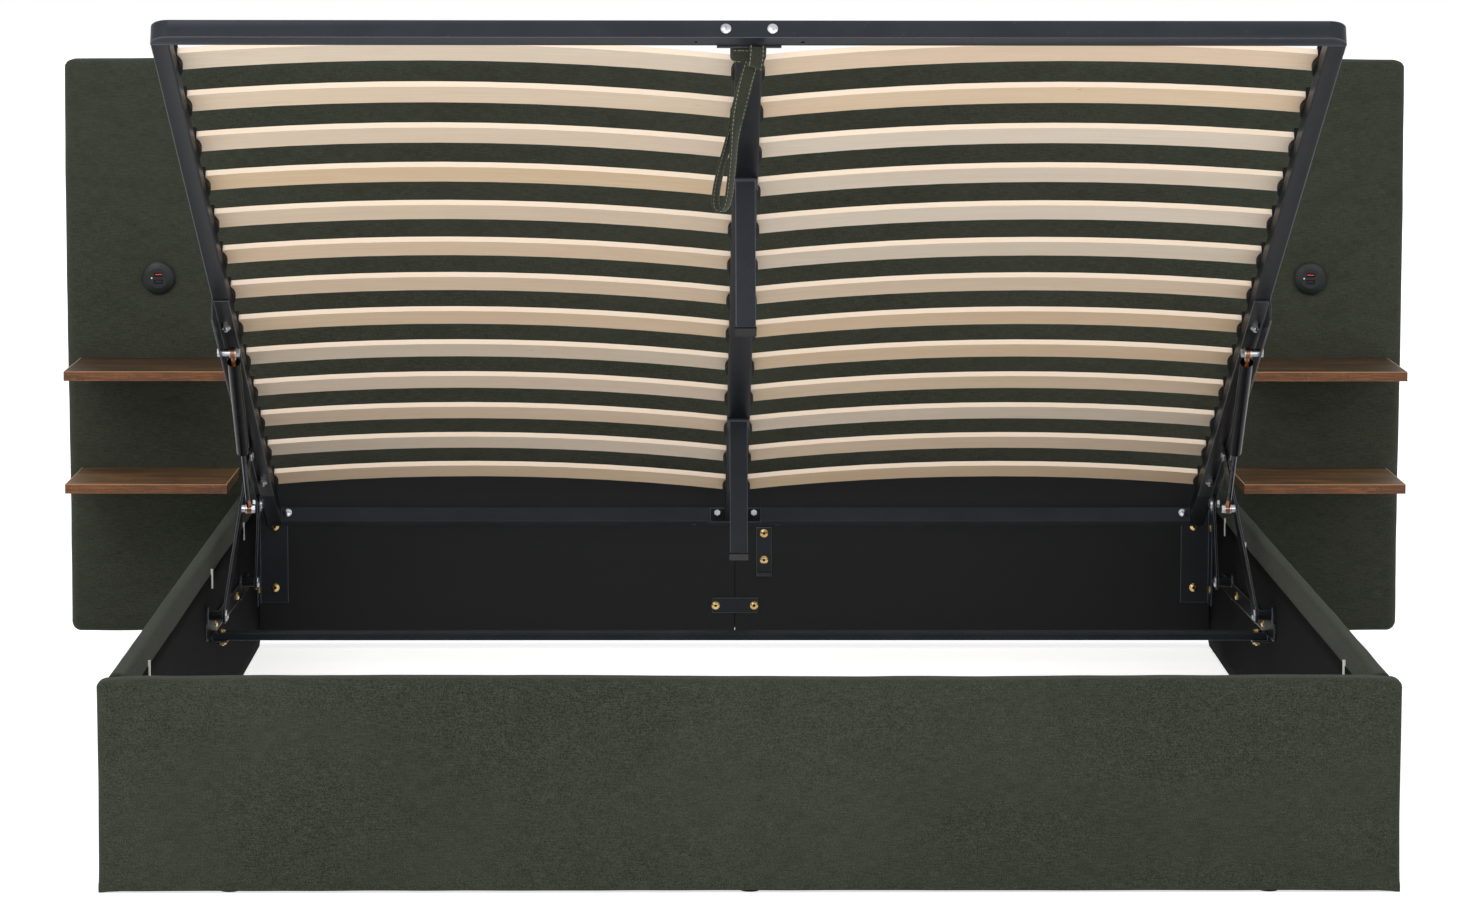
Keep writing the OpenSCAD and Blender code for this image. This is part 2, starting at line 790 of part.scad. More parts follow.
// Lift frame tubes
module rail_bolt_bores(h0, h1) {
    for (u = rail_bolt_u) at_u(u) translate([rail_bolt_x, 0, h0]) cylinder(h = h1 - h0, d = bolt_bore);
}
module side_tube() {
    color("#2A2C31") on_frame() difference() {
        translate([tube_x, 0, 0]) rotate([90, 0, 0]) linear_extrude(frame_l - tube) tube_outline(tube, tube);
        rail_bolt_bores(-cut, tube + cut);
    }
}
module head_bar() {
    l = 2 * tube_x;
    color("#2A2C31") on_frame() difference() {
        translate([-l / 2, -tube, 0]) rotate([90, 0, 90]) linear_extrude(l) tube_outline(tube, tube);
        both() translate([drain_x, -drain_in, -cut]) cylinder(h = wall + 2 * cut, d = drain_d);
        both() y_rod(plate_bolt_x, -tube - cut, cut, tube / 2, bolt_bore);
        both() y_rod(corner_bolt_x, -tube - cut, wall - tube + cut, corner_bolt_h, bolt_bore);
    }
}
module foot_bar_plan(grow) {
    x = frame_x + grow;
    r = corner_r + grow;
    translate([-x + r, -tube - grow]) square([2 * (x - r), tube + 2 * grow]);
    for (s = [-1, 1]) {
        intersection() {
            translate([s * (x - r), -tube - grow + r]) circle(r = r);
            translate([s > 0 ? 0 : -x, -tube - grow]) square([x, tube + 2 * grow]);
        }
    }
}
module foot_bar() {
    color("#2A2C31") on_frame() at_u(frame_l - tube) difference() {
        linear_extrude(tube) foot_bar_plan(0);
        translate([0, 0, wall]) linear_extrude(tube - 2 * wall) foot_bar_plan(-wall);
        both() translate([drain_x, -drain_in, -cut]) cylinder(h = wall + 2 * cut, d = drain_d);
        both() y_rod(plate_bolt_x, -tube - cut, cut, tube / 2, bolt_bore);
        both() y_rod(corner_bolt_x, -wall - cut, cut, corner_bolt_h, bolt_bore);
    }
}
module centre_beam() {
    color("#2A2C31") on_frame() at_u(beam_u[0]) translate([-beam_w / 2, 0, 0]) rotate([90, 0, 0])
        linear_extrude(beam_u[1] - beam_u[0]) tube_outline(beam_w, beam_h);
}
module beam_end_plates() {
    color("#2A2C31") on_frame() {
        for (u = [beam_u[0], frame_l - tube]) {
            at_u(u) difference() {
                translate([-plate_w / 2, 0, -plate_drop]) cube([plate_w, plate_t, tube]);
                both() y_rod(plate_bolt_x, -cut, plate_t + cut, tube / 2, bolt_bore);
            }
        }
    }
}
module support_legs() {
    l = frame_z - leg_gap;
    s = leg_w + 2 * leg_socket_t;
    tube_l = l - cap_t - leg_socket_h;
    in_w = leg_w - 2 * wall;
    color("#2A2C31") on_frame() {
        for (u = [leg_far, leg_near]) {
            at_u(u) {
                translate([-s / 2, -s / 2, -leg_socket_h]) cube([s, s, leg_socket_h]);
                translate([-leg_w / 2, -leg_w / 2, cap_t - l]) difference() {
                    cube([leg_w, leg_w, tube_l]);
                    translate([wall, wall, -cut]) cube([in_w, in_w, tube_l]);
                }
            }
        }
    }
}
module leg_foot_caps() {
    l = frame_z - leg_gap;
    s = leg_w + 2 * cap_over;
    p = leg_w - 2 * wall - 2 * bore_gap;
    color("#17181A") on_frame() {
        for (u = [leg_far, leg_near]) {
            at_u(u) {
                translate([-s / 2, -s / 2, -l]) cube([s, s, cap_t]);
                translate([-p / 2, -p / 2, cap_t - l]) cube([p, p, plug_h]);
            }
        }
    }
}

// Slats and their holders
module slat() {
    translate([(slat_x0 + slat_x1) / 2, slat_w / 2, (seat_mid + seat_out) / 2]) rotate([90, 0, 0])
    linear_extrude(slat_w) rotate(slat_lean) intersection() {
        translate([0, slat_crown - slat_r]) difference() {
            circle(r = slat_r + slat_t, $fn = 720);
            circle(r = slat_r, $fn = 720);
        }
        translate([-slat_chord / 2, -slat_t]) square([slat_chord, slat_crown + 3 * slat_t]);
    }
}
module slats() {
    color("#E4CDAE") on_frame() {
        for (u = slat_u) at_u(u) slat();
    }
}
module holder_lip(x, top) {
    translate([x, 0, top - lip_h]) intersection() {
        translate([lip_out - lip_r, 0, 0]) cylinder(h = lip_h, r = lip_r, $fn = 96);
        translate([0, -holder_w / 2, 0]) cube([lip_out, holder_w, lip_h]);
    }
}
module outer_holder() {
    difference() {
        union() {
            translate([tube_x, -holder_w / 2, tube]) cube([tube, holder_w, pad_out + pocket_h + holder_roof]);
            mirror([1, 0, 0]) holder_lip(-tube_x, tube + pad_out);
        }
        translate([tube_x - cut, -(slat_w / 2 + seat), tube + pad_out])
            cube([tube + cut - holder_wall, slat_w + 2 * seat, pocket_h]);
    }
}
module slat_holders_outer() {
    color("#17181A") on_frame() both() {
        for (u = slat_u) at_u(u) outer_holder();
    }
}
module slat_holders_centre() {
    color("#17181A") on_frame() {
        for (u = slat_u) {
            at_u(u) difference() {
                union() {
                    translate([-beam_w / 2, -holder_w / 2, beam_h])
                        cube([beam_w, holder_w, pad_mid + pocket_h + holder_roof]);
                    both() holder_lip(beam_w / 2, beam_h + pad_mid);
                }
                both() translate([holder_mid / 2, -(slat_w / 2 + seat), beam_h + pad_mid])
                    cube([beam_w, slat_w + 2 * seat, pocket_h]);
            }
        }
    }
}

// Pull strap: a band round the beam, and two tails that part into a hand loop
module pull_strap() {
    g = seat + strap_t;
    strap_top = frame_zero + turned([-strap_u, -g], -open_angle);
    color("#2F3326") difference() {
        union() {
            strap_collar(g, collar_w);
            translate([strap_x, strap_top[0], strap_top[1]])
                rotate([0, atan2(strap_lean, strap_drop), 0]) rotate(strap_turn)
                translate([-strap_w / 2, 0, 0]) rotate([90, 0, 90])
                linear_extrude(strap_w) strap_tails();
        }
        strap_collar(seat, collar_w + 2 * cut);
    }
}
// A block round the beam, g larger on every side and l long
module strap_collar(g, l) {
    on_frame() at_u(strap_u) translate([0, l / 2, 0]) rotate([90, 0, 0])
        linear_extrude(l) translate([-beam_w / 2 - g, -g]) square([beam_w + 2 * g, beam_h + 2 * g]);
}
// The tails' outline from the side: two plies together, then apart round a loop
module strap_tails() {
    r = strap_open / 2 + strap_t;
    fork = strap_drop * strap_fork;
    translate([-strap_t, -fork]) square([2 * strap_t, fork + strap_reach]);
    z = r - strap_drop;
    for (s = [-1, 1]) polygon([[0, -fork], [s * strap_t, -fork], [s * r, z], [s * (r - strap_t), z]]);
    translate([0, z]) difference() {
        circle(r = r);
        circle(r = r - strap_t);
        translate([-r - cut, 0]) square([2 * r + 2 * cut, r + cut]);
    }
}

// Lift rails, screwed under the side tubes, and their pivots
module lift_rail() {
    color("#26272B") on_frame() difference() {
        union() {
            translate([rail_x, -rail_u[1], -rail_drop]) cube([rail_t, rail_l, rail_drop]);
            translate([tube_x, -rail_u[1], -rail_t]) cube([rail_x + rail_t - tube_x, rail_l, rail_t]);
            x_rod(rail_x, rail_x + rail_t, -rear_eye_u, -rear_eye_drop, 2 * rear_eye_r);
        }
        x_rod(rail_x - cut, rail_x + rail_t + cut, -rear_eye_u, -rear_eye_drop, slot_pin_d + 2 * bore_gap);
        x_rod(rail_x - cut, rail_x + rail_t + cut, -front_eye_u, -front_eye_drop, pin_d + 2 * bore_gap);
        x_rod(rail_x - cut, rail_x + rail_t + cut, -strut_eye_u, -strut_eye_drop, eye_pin_d + 2 * bore_gap);
        rail_bolt_bores(-rail_t - cut, cut);
    }
}
module rail_pivot_bolts() {
    out = rail_x + rail_t;
    color("silver") on_frame() both() {
        translate([head_x, -front_eye_u, -front_eye_drop]) {
            dome_screw(out + nut_h - head_x, pin_d, pin_head_d, pin_head_h);
            hex_nut(out - head_x, nut_d, nut_h);
        }
        translate([head_x, -rear_eye_u, -rear_eye_drop]) {
            x_rod(-slot_washer_h, 0, 0, 0, slot_washer_d);
            translate([-slot_washer_h, 0, 0])
                dome_screw(out + nut_h - head_x, slot_pin_d, pin_head_d, pin_head_h);
            hex_nut(out - head_x, nut_d, nut_h);
        }
    }
}
module upper_strut_studs() {
    out = rail_x + rail_t;
    eye_x = strut_x + eye_t / 2;
    color("silver") on_frame() both() translate([0, -strut_eye_u, -strut_eye_drop]) {
        x_rod(eye_x + seat, rail_x, 0, 0, stud_d);
        x_rod(strut_x - eye_t / 2 - nut_h, out + nut_h, 0, 0, eye_pin_d);
        hex_nut(out, nut_d, nut_h);
        hex_nut(strut_x - eye_t / 2 - nut_h - seat, nut_d, nut_h);
    }
}
module frame_bolts() {
    color("silver") on_frame() {
        both() {
            for (u = rail_bolt_u) {
                at_u(u) translate([rail_bolt_x, 0, tube]) rotate([0, 90, 0]) {
                    panel_screw(tube + rail_t + nut_h + 2 * thread_end);
                    hex_nut(tube + rail_t, nut_d, nut_h);
                }
            }
            at_u(frame_l) translate([plate_bolt_x, 0, tube / 2]) rotate([0, 0, 90]) {
                panel_screw(tube + plate_t + nut_h);
                hex_nut(tube + plate_t, plate_nut_d, nut_h);
            }
            translate([plate_bolt_x, 0, tube / 2]) rotate([0, 0, -90]) {
                panel_screw(tube + plate_t + nut_h);
                hex_nut(tube + plate_t, plate_nut_d, nut_h);
            }
            for (end = [[tube, 90], [frame_l - tube, -90]]) {
                at_u(end[0]) translate([corner_bolt_x, 0, corner_bolt_h]) rotate([0, 0, end[1]])
                    panel_screw(wall);
            }
        }
    }
}

// Links and struts
module front_link() {
    color("#26272B") difference() {
        flat_plate(link_x, link_t) {
            bar_outline(front_pin, front_eye, eye_r);
            bar_outline(strut_mid, strut_foot, foot_eye_r);
        }
        x_rod(link_x - cut, link_x + link_t + cut, front_pin[0], front_pin[1], pin_d + 2 * bore_gap);
        x_rod(link_x - cut, link_x + link_t + cut, front_eye[0], front_eye[1], pin_d + 2 * bore_gap);
        x_rod(link_x - cut, link_x + link_t + cut, strut_foot[0], strut_foot[1], pin_d + 2 * bore_gap);
    }
}
module rear_link() {
    color("#26272B") difference() {
        flat_plate(link_x, link_t) {
            bar_outline(rear_pin, rear_eye, eye_r);
            translate(rear_eye) circle(r = rear_eye_r);
        }
        x_rod(link_x - cut, link_x + link_t + cut, rear_pin[0], rear_pin[1], pin_d + 2 * bore_gap);
        flat_plate(link_x - cut, link_t + 2 * cut)
            bar_outline(rear_eye, rear_eye + slot_run * [cos(slot_angle), sin(slot_angle)], slot_r);
    }
}
module lower_strut_studs() {
    color("silver") both() translate([0, strut_foot[0], strut_foot[1]]) {
        x_rod(strut_x + eye_t / 2 + run_gap, link_x, 0, 0, stud_d);
        x_rod(link_x, link_x + link_t, 0, 0, pin_d);
    }
}
// The strut's own frame: +X from the frame pin towards the front link's pin
module on_strut() {
    translate([strut_x, strut_eye[0], strut_eye[1]]) rotate([-strut_tilt, 0, 0])
        rotate([0, 0, 90]) children();
}
module s_rod(s0, s1, d) { translate([s0, 0, 0]) rotate([0, 90, 0]) cylinder(h = s1 - s0, d = d); }
module strut_cylinder() {
    s1 = strut_gap + strut_l;
    color("#222326") on_strut() difference() {
        union() {
            translate([0, eye_t / 2, 0]) rotate([90, 0, 0]) cylinder(h = eye_t, d = eye_d);
            s_rod(0, strut_gap, neck_d);
            s_rod(strut_gap, s1, strut_d);
        }
        translate([0, eye_t, 0]) rotate([90, 0, 0]) cylinder(h = 2 * eye_t, d = eye_pin_d + 2 * bore_gap);
        s_rod(strut_gap + strut_end_t, s1 - guide_l, strut_d - 2 * strut_wall);
        s_rod(s1 - guide_l - cut, s1 + cut, strut_rod_d + 2 * bore_gap);
    }
}
module strut_rod() {
    s1 = strut_gap + strut_l;
    color("#333438") on_strut() {
        s_rod(s1 - rod_in, s1 - rod_in + piston_l, strut_d - 2 * strut_wall - 2 * bore_gap);
        s_rod(s1 - rod_in, strut_len, strut_rod_d);
        translate([strut_len, eye_t / 2, 0]) rotate([90, 0, 0]) cylinder(h = eye_t, d = eye_d);
        s_rod(strut_len - strut_gap, strut_len, neck_d);
        translate([strut_len, eye_t / 2, 0]) rotate([-90, 0, 0]) cylinder(h = nut_h, d = nut_d, $fn = 6);
    }
}

headboard_core();
headboard_cover();
headboard_backing();
footboard_core();
footboard_cover();
footboard_lining();
left() side_core();  // side_core_left
side_core();  // side_core_right
left() side_cover();  // side_cover_left
side_cover();  // side_cover_right
left() side_lining();  // side_lining_left
side_lining();  // side_lining_right
left() head_end_panel();  // head_end_panel_left
head_end_panel_right();
panel_joint_plate();
centre_bracket();
corner_brackets();
cross_bar();
left() mechanism_base();  // mechanism_base_left
mechanism_base();  // mechanism_base_right
left() shelf(shelf_high);  // shelf_upper_left
shelf(shelf_high);  // shelf_upper_right
left() shelf(shelf_low);  // shelf_lower_left
shelf(shelf_low);  // shelf_lower_right
shelf_rods();
left() socket_bezel();  // socket_bezel_left
socket_bezel();  // socket_bezel_right
left() socket();  // socket_left
socket();  // socket_right
panel_bolts();
lining_clips();
floor_glides();
base_pivot_bolts();
foot_bar();
left() side_tube();  // side_tube_left
side_tube();  // side_tube_right
head_bar();
centre_beam();
beam_end_plates();
support_legs();
leg_foot_caps();
left() slats();  // slats_left
slats();  // slats_right
slat_holders_outer();
slat_holders_centre();
pull_strap();
left() lift_rail();  // lift_rail_left
lift_rail();  // lift_rail_right
frame_bolts();
rail_pivot_bolts();
upper_strut_studs();
left() front_link();  // front_link_left
front_link();  // front_link_right
lower_strut_studs();
left() rear_link();  // rear_link_left
rear_link();  // rear_link_right
left() strut_cylinder();  // strut_cylinder_left
strut_cylinder();  // strut_cylinder_right
left() strut_rod();  // strut_rod_left
strut_rod();  // strut_rod_right
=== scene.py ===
import math
import bpy
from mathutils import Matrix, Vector, noise


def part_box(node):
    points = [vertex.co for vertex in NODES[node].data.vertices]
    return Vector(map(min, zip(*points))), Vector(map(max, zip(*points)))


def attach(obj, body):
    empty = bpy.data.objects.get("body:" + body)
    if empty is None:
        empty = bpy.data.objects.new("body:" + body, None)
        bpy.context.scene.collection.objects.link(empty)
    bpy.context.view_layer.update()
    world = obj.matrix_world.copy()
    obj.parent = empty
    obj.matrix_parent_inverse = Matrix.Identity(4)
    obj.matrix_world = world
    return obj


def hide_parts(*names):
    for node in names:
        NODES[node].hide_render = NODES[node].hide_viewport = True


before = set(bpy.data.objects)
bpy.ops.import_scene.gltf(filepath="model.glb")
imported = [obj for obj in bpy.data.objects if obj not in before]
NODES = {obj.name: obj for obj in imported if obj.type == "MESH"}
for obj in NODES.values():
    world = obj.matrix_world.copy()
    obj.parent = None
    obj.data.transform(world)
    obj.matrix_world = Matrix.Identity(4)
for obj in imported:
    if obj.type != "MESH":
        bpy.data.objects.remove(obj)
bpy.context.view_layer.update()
scene = bpy.context.scene
SIDES = {"left": -1, "right": 1}
WHITE = (1, 1, 1, 1)

# Camera, worked out from the photo's straight edges
cam = bpy.data.cameras.new("camera")
cam.lens = 121.913
cam.sensor_width = 36
cam.clip_end = 60
cam_ob = bpy.data.objects.new("camera", cam)
scene.collection.objects.link(cam_ob)
cam_ob.location = (-0.0829, -7.4701, 1.3166)
cam_ob.rotation_euler = (math.radians(90 - 6.551), -0.0013, math.radians(-0.552))
scene.camera = cam_ob

# The lift frame's own axes: u runs from its head end to its foot end, h up from its underside
OPEN = math.radians(26.5)
FRAME_ZERO = Vector((0, 0.900161, 0.225672))


def on_frame(x, u, h):
    """The place in the bed of a point given in the lift frame's axes."""
    y = FRAME_ZERO.y - u * math.cos(OPEN) + h * math.sin(OPEN)
    z = FRAME_ZERO.z + u * math.sin(OPEN) + h * math.cos(OPEN)
    return Vector((x, y, z))


def middle(node):
    """The middle of a node's box."""
    return [(lo + hi) / 2 for lo, hi in zip(*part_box(node))]


def rgba(code):
    """A hex colour as linear red, green, blue and alpha."""
    out = []
    for k in (1, 3, 5):
        c = int(code[k:k + 2], 16) / 255
        out.append(c / 12.92 if c <= 0.04045 else ((c + 0.055) / 1.055) ** 2.4)
    return (*out, 1)


class Value:
    """What a shader node gives. Sums, differences, products and comparisons of values make math nodes."""

    def __init__(self, nodes, socket):
        self.nodes = nodes
        self.socket = socket

    def __add__(self, other):
        return self.nodes.math("ADD", self, other)

    def __radd__(self, other):
        return self.nodes.math("ADD", other, self)

    def __sub__(self, other):
        return self.nodes.math("SUBTRACT", self, other)

    def __rsub__(self, other):
        return self.nodes.math("SUBTRACT", other, self)

    def __mul__(self, other):
        return self.nodes.math("MULTIPLY", self, other)

    def __truediv__(self, other):
        return self.nodes.math("DIVIDE", self, other)

    def __gt__(self, other):
        return self.nodes.math("GREATER_THAN", self, other)

    def __lt__(self, other):
        return self.nodes.math("LESS_THAN", self, other)

    def __abs__(self):
        return self.nodes.math("ABSOLUTE", self)


class Nodes:
    """Builds a tree of shader nodes. An input takes a Value, a socket, a number, a vector or a hex colour."""

    def __init__(self, tree):
        self.tree = tree
        self.tree.nodes.clear()

    def put(self, socket, value):
        if isinstance(value, Value):
            value = value.socket
        if isinstance(value, bpy.types.NodeSocket):
            self.tree.links.new(value, socket)
        elif isinstance(value, str):
            socket.default_value = rgba(value)
        else:
            socket.default_value = value

    def raw(self, kind, ins=None, **props):
        """A new node with its properties and inputs set."""
        made = self.tree.nodes.new(kind)
        for name, value in props.items():
            setattr(made, name, value)
        for key, value in (ins or {}).items():
            self.put(made.inputs[key], value)
        return made

    def node(self, kind, ins=None, output=0, **props):
        """The value that one output of a new node gives."""
        return Value(self, self.raw(kind, ins, **props).outputs[output])

    def math(self, operation, a, b=0.0):
        """One step of arithmetic."""
        return self.node("ShaderNodeMath", {0: a, 1: b}, operation=operation)

    def length(self, a, b):
        """How far a and b lead away at a right angle to each other."""
        return self.math("SQRT", a * a + b * b)

    def xyz(self, vector):
        return [Value(self, part) for part in self.raw("ShaderNodeSeparateXYZ", {0: vector}).outputs]

    def vector(self, x, y, z):
        return self.node("ShaderNodeCombineXYZ", {0: x, 1: y, 2: z})

    def noise(self, vector, detail, rough, distortion=0.0):
        ins = {"Vector": vector, "Scale": 1.0, "Detail": detail, "Roughness": rough, "Distortion": distortion}
        return self.node("ShaderNodeTexNoise", ins)

    def ramp(self, value, stops):
        """Colours that run from one (value, colour) stop to the next."""
        made = self.raw("ShaderNodeValToRGB", {0: value})
        elements = made.color_ramp.elements
        while len(elements) < len(stops):
            elements.new(0.5)
        for element, (position, colour) in zip(elements, stops):
            element.position = position
            element.color = rgba(colour) if isinstance(colour, str) else colour
        return Value(self, made.outputs[0])

    def tones(self, value, dark, light):
        """Colours from dark to light over the middle of a noise."""
        return self.ramp(value, [(0.32, dark), (0.68, light)])

    def grey(self, value, *stops):
        """A number that runs from one (value, number) stop to the next."""
        return self.ramp(value, [(position, (v, v, v, 1)) for position, v in stops])

    def mix(self, share, a, b, mode="MIX"):
        ins = {"Factor": share, "A": a, "B": b}
        return self.node("ShaderNodeMix", ins, "Result", data_type="RGBA", blend_type=mode)

    def lay(self, under, over, value, *stops):
        """The colour under with the colour over laid on it, as strongly as the stops say for value."""
        return self.mix(self.grey(value, *stops), under, over)

    def bump(self, height, strength, distance, normal=None):
        ins = {"Height": height, "Strength": strength, "Distance": distance}
        if normal is not None:
            ins["Normal"] = normal
        return self.node("ShaderNodeBump", ins)

    def seen(self):
        """1 for rays that the eye follows, straight or by reflection, and 0 for light spread elsewhere."""
        rays = self.raw("ShaderNodeLightPath").outputs
        bounced = self.math("MAXIMUM", rays["Is Glossy Ray"], rays["Is Transmission Ray"])
        return self.math("MAXIMUM", rays["Is Camera Ray"], bounced)


class Mat(Nodes):
    """A material. Its coordinates are the object's own, which are the bed's."""

    def __init__(self, name):
        self.material = bpy.data.materials.new(name)
        self.material.use_nodes = True
        super().__init__(self.material.node_tree)
        self.bsdf = self.raw("ShaderNodeBsdfPrincipled")
        self.out = self.raw("ShaderNodeOutputMaterial", {0: self.bsdf.outputs[0]})
        self.place = self.node("ShaderNodeTexCoord", output="Object")

    def speckle(self, scale, detail, rough):
        """Noise all through the bed; scale is one number or one for each axis."""
        axes = scale if isinstance(scale, tuple) else (scale, scale, scale)
        stretched = self.node("ShaderNodeMapping", {"Vector": self.place, "Scale": axes})
        return self.noise(stretched, detail, rough)

    def cells(self, scale):
        """Distance to the nearest of many scattered points."""
        return self.node("ShaderNodeTexVoronoi", {"Vector": self.place, "Scale": scale}, "Distance")

    def done(self, colour, rough, normal=None, **fixed):
        """The finished material; fixed names other inputs of its surface, with _ for a space."""
        self.put(self.bsdf.inputs["Base Color"], colour)
        self.put(self.bsdf.inputs["Roughness"], rough)
        if normal is not None:
            self.put(self.bsdf.inputs["Normal"], normal)
        for name, value in fixed.items():
            self.bsdf.inputs[name.replace("_", " ")].default_value = value
        return self.material


THREAD_PITCH = 0.0011
# A face counts as a side or as a top when its normal's X or Z is larger than this
STEEP = 0.7


def weave(name, base, light, dark, fleck_gain):
    """Heathered plain weave: threads along two directions of whichever face is looked at."""
    mat = Mat(name)
    x, y, z = mat.xyz(mat.place)
    normal = mat.xyz(mat.node("ShaderNodeTexCoord", output="Normal"))
    side = abs(normal[0]) > STEEP
    top = abs(normal[2]) > STEEP
    across = x * (1.0 - side) + y * side
    up = z * (1.0 - top) + y * top
    turns = 2 * math.pi / THREAD_PITCH
    thread = mat.math("SINE", across * turns) * mat.math("SINE", up * turns) * 0.5 + 0.5
    weft_streak = mat.noise(mat.vector(across * 60.0, up * 700.0, 0.0), 3.0, 0.6)
    warp_streak = mat.noise(mat.vector(across * 700.0, up * 90.0, 4.0), 2.0, 0.6)
    fleck = mat.speckle((760, 760, 900), 1.0, 0.5)
    mottle = mat.speckle((26, 26, 60), 3.0, 0.6)
    cloud = mat.speckle(3.2, 3.0, 0.5)
    heather = weft_streak * 0.5 + (warp_streak * 0.22 + fleck * 0.28)
    colour = mat.ramp(heather, [(0.36, dark), (0.5, base), (0.66, light)])
    colour = mat.lay(colour, light, cloud, (0.35, 0.0), (0.7, 0.3))
    colour = mat.lay(colour, dark, mottle, (0.3, 0.3), (0.55, 0.0))
    colour = mat.lay(colour, dark, fleck, (0.34, fleck_gain), (0.5, 0.0))
    colour = mat.lay(colour, light, fleck, (0.5, 0.0), (0.66, fleck_gain))
    colour = mat.mix((1.0 - thread) * 0.22, colour, dark)
    rough = mat.grey(heather, (0.3, 0.95), (0.7, 0.82))
    unevenness = mat.bump(mat.speckle(9, 3.0, 0.5), 0.35, 0.004)
    relief = mat.bump(thread * 0.6 + heather * 0.6, 0.5, 0.0006, unevenness)
    return mat.done(colour, rough, relief, Sheen_Weight=0.04, Sheen_Roughness=0.5, Specular_IOR_Level=0.15)


# Radius of the rounded edges of coated steel, which also sets the width of their painted highlight
EDGE_R = 0.0022


def powder(name, base, rough, spec):
    """Powder coat: a fine orange peel, faint dust, slightly rubbed places and a painted highlight along the
    edges.
    """
    mat = Mat(name)
    peel = mat.speckle(900, 2.0, 0.5)
    dust = mat.speckle(14, 4.0, 0.6)
    speck = mat.speckle(160, 2.0, 0.5)
    round_edge = mat.node("ShaderNodeBevel", {"Radius": EDGE_R}, samples=6)
    flat = mat.node("ShaderNodeNewGeometry", output="True Normal")
    turn = mat.node("ShaderNodeVectorMath", {0: round_edge, 1: flat}, "Value", operation="DOT_PRODUCT")
    colour = mat.lay(base, "#5A5D63", dust, (0.4, 0.0), (0.75, 0.07))
    colour = mat.lay(colour, "#6C6F75", speck, (0.68, 0.0), (0.78, 0.1))
    # Painted highlight: a lighter line along the rounded edges, where they catch the light
    colour = mat.lay(colour, "#7E858F", turn, (0.76, 0.85), (0.985, 0.0))
    relief = mat.bump(peel, 0.05, 0.0004, round_edge)
    return mat.done(colour, rough - 0.06 + dust * 0.14, relief, Specular_IOR_Level=spec)


def zinc(name, base, tint, rough):
    """Plated steel: a metal with slightly uneven plating and fine scratches."""
    mat = Mat(name)
    colour = mat.tones(mat.speckle(70, 3.0, 0.6), base, tint)
    scratch = mat.speckle((1500, 300, 900), 2.0, 0.6)
    return mat.done(colour, rough - 0.05 + scratch * 0.16, mat.bump(scratch, 0.12, 0.0002), Metallic=1.0)


# A strut's plated eye, and the copper-coloured line that runs down the eye's middle
EYE_R = 0.014
LINE_REACH = 0.024
LINE_W = 0.0068


def strut_steel(node, pin, dark, light, rough):
    """A strut's cylinder or rod: dark metal, its eye round the pin plated and lined."""
    mat = Mat(node)
    x, y, z = mat.xyz(mat.place)
    pin_at = middle(pin)
    from_middle = abs(x - middle(node)[0])
    from_pin = mat.length(y - pin_at[1], z - pin_at[2])
    tone = mat.speckle(70, 3.0, 0.6)
    plated = mat.tones(tone, "#9EA2A8", "#C4C8CC")
    copper = mat.tones(tone, "#7A5038", "#9C6E4E")
    colour = mat.mix(from_pin < EYE_R, mat.tones(tone, dark, light), plated)
    colour = mat.mix((from_pin < LINE_REACH) * (from_middle < LINE_W / 2), colour, copper)
    return mat.done(colour, rough - 0.05 + tone * 0.1, Metallic=1.0)


def bezel(side):
    """The socket's trim ring: smooth dark plastic, with painted light and shade from top to bottom and a
    painted black shadow ring round its outer edge.
    """
    mat = Mat("socket_trim_%s" % side)
    node = "socket_bezel_%s" % side
    lo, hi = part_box(node)
    mid = middle(node)
    place = mat.xyz(mat.place)
    dx = place[0] - mid[0]
    dz = place[2] - mid[2]
    outward = mat.length(dx, dz) / ((hi[0] - lo[0]) / 2)
    upward = dz / ((hi[2] - lo[2]) / 2)
    wear = mat.speckle(45, 4.0, 0.6)
    # Painted light and shade: lighter at the top, where the light falls, and darker towards the bottom
    colour = mat.ramp(upward * 0.5 + 0.5, [(0.15, "#0C0F10"), (0.6, "#1C1F1F"), (1.0, "#2E3230")])
    colour = mat.lay(colour, "#3A3E3E", wear, (0.5, 0.0), (0.8, 0.1))
    # Painted shadow: a black ring round the outer edge
    colour = mat.lay(colour, "#040504", outward, (0.88, 0.0), (0.94, 1.0))
    return mat.done(colour, 0.32 + wear * 0.1, Specular_IOR_Level=0.22)


def plastic(name, base, light, rough, grain=0.12, spec=0.5):
    """Moulded plastic with a fine texture and faint wear."""
    mat = Mat(name)
    texture = mat.speckle(1100, 2.0, 0.5)
    wear = mat.speckle(45, 4.0, 0.6)
    colour = mat.lay(base, light, wear, (0.5, 0.0), (0.8, 0.35))
    relief = mat.bump(texture, grain, 0.0003)
    return mat.done(colour, rough - 0.05 + wear * 0.12, relief, Specular_IOR_Level=spec)


# Place of the first slat's middle along u, distance from slat to slat, and a slat's width
SLAT_HEAD, SLAT_PITCH, SLAT_W = 0.144, 0.14, 0.053
# How near its long edge a slat shows its plies, and the distance from ply to ply
SLAT_EDGE, PLY_PITCH = 0.0004, 0.0016
# Centre and radius of the slats' arc, in the frame's x and h
SLAT_ARC_X, SLAT_ARC_H, SLAT_R = 0.44066, -3.78965, 3.8374


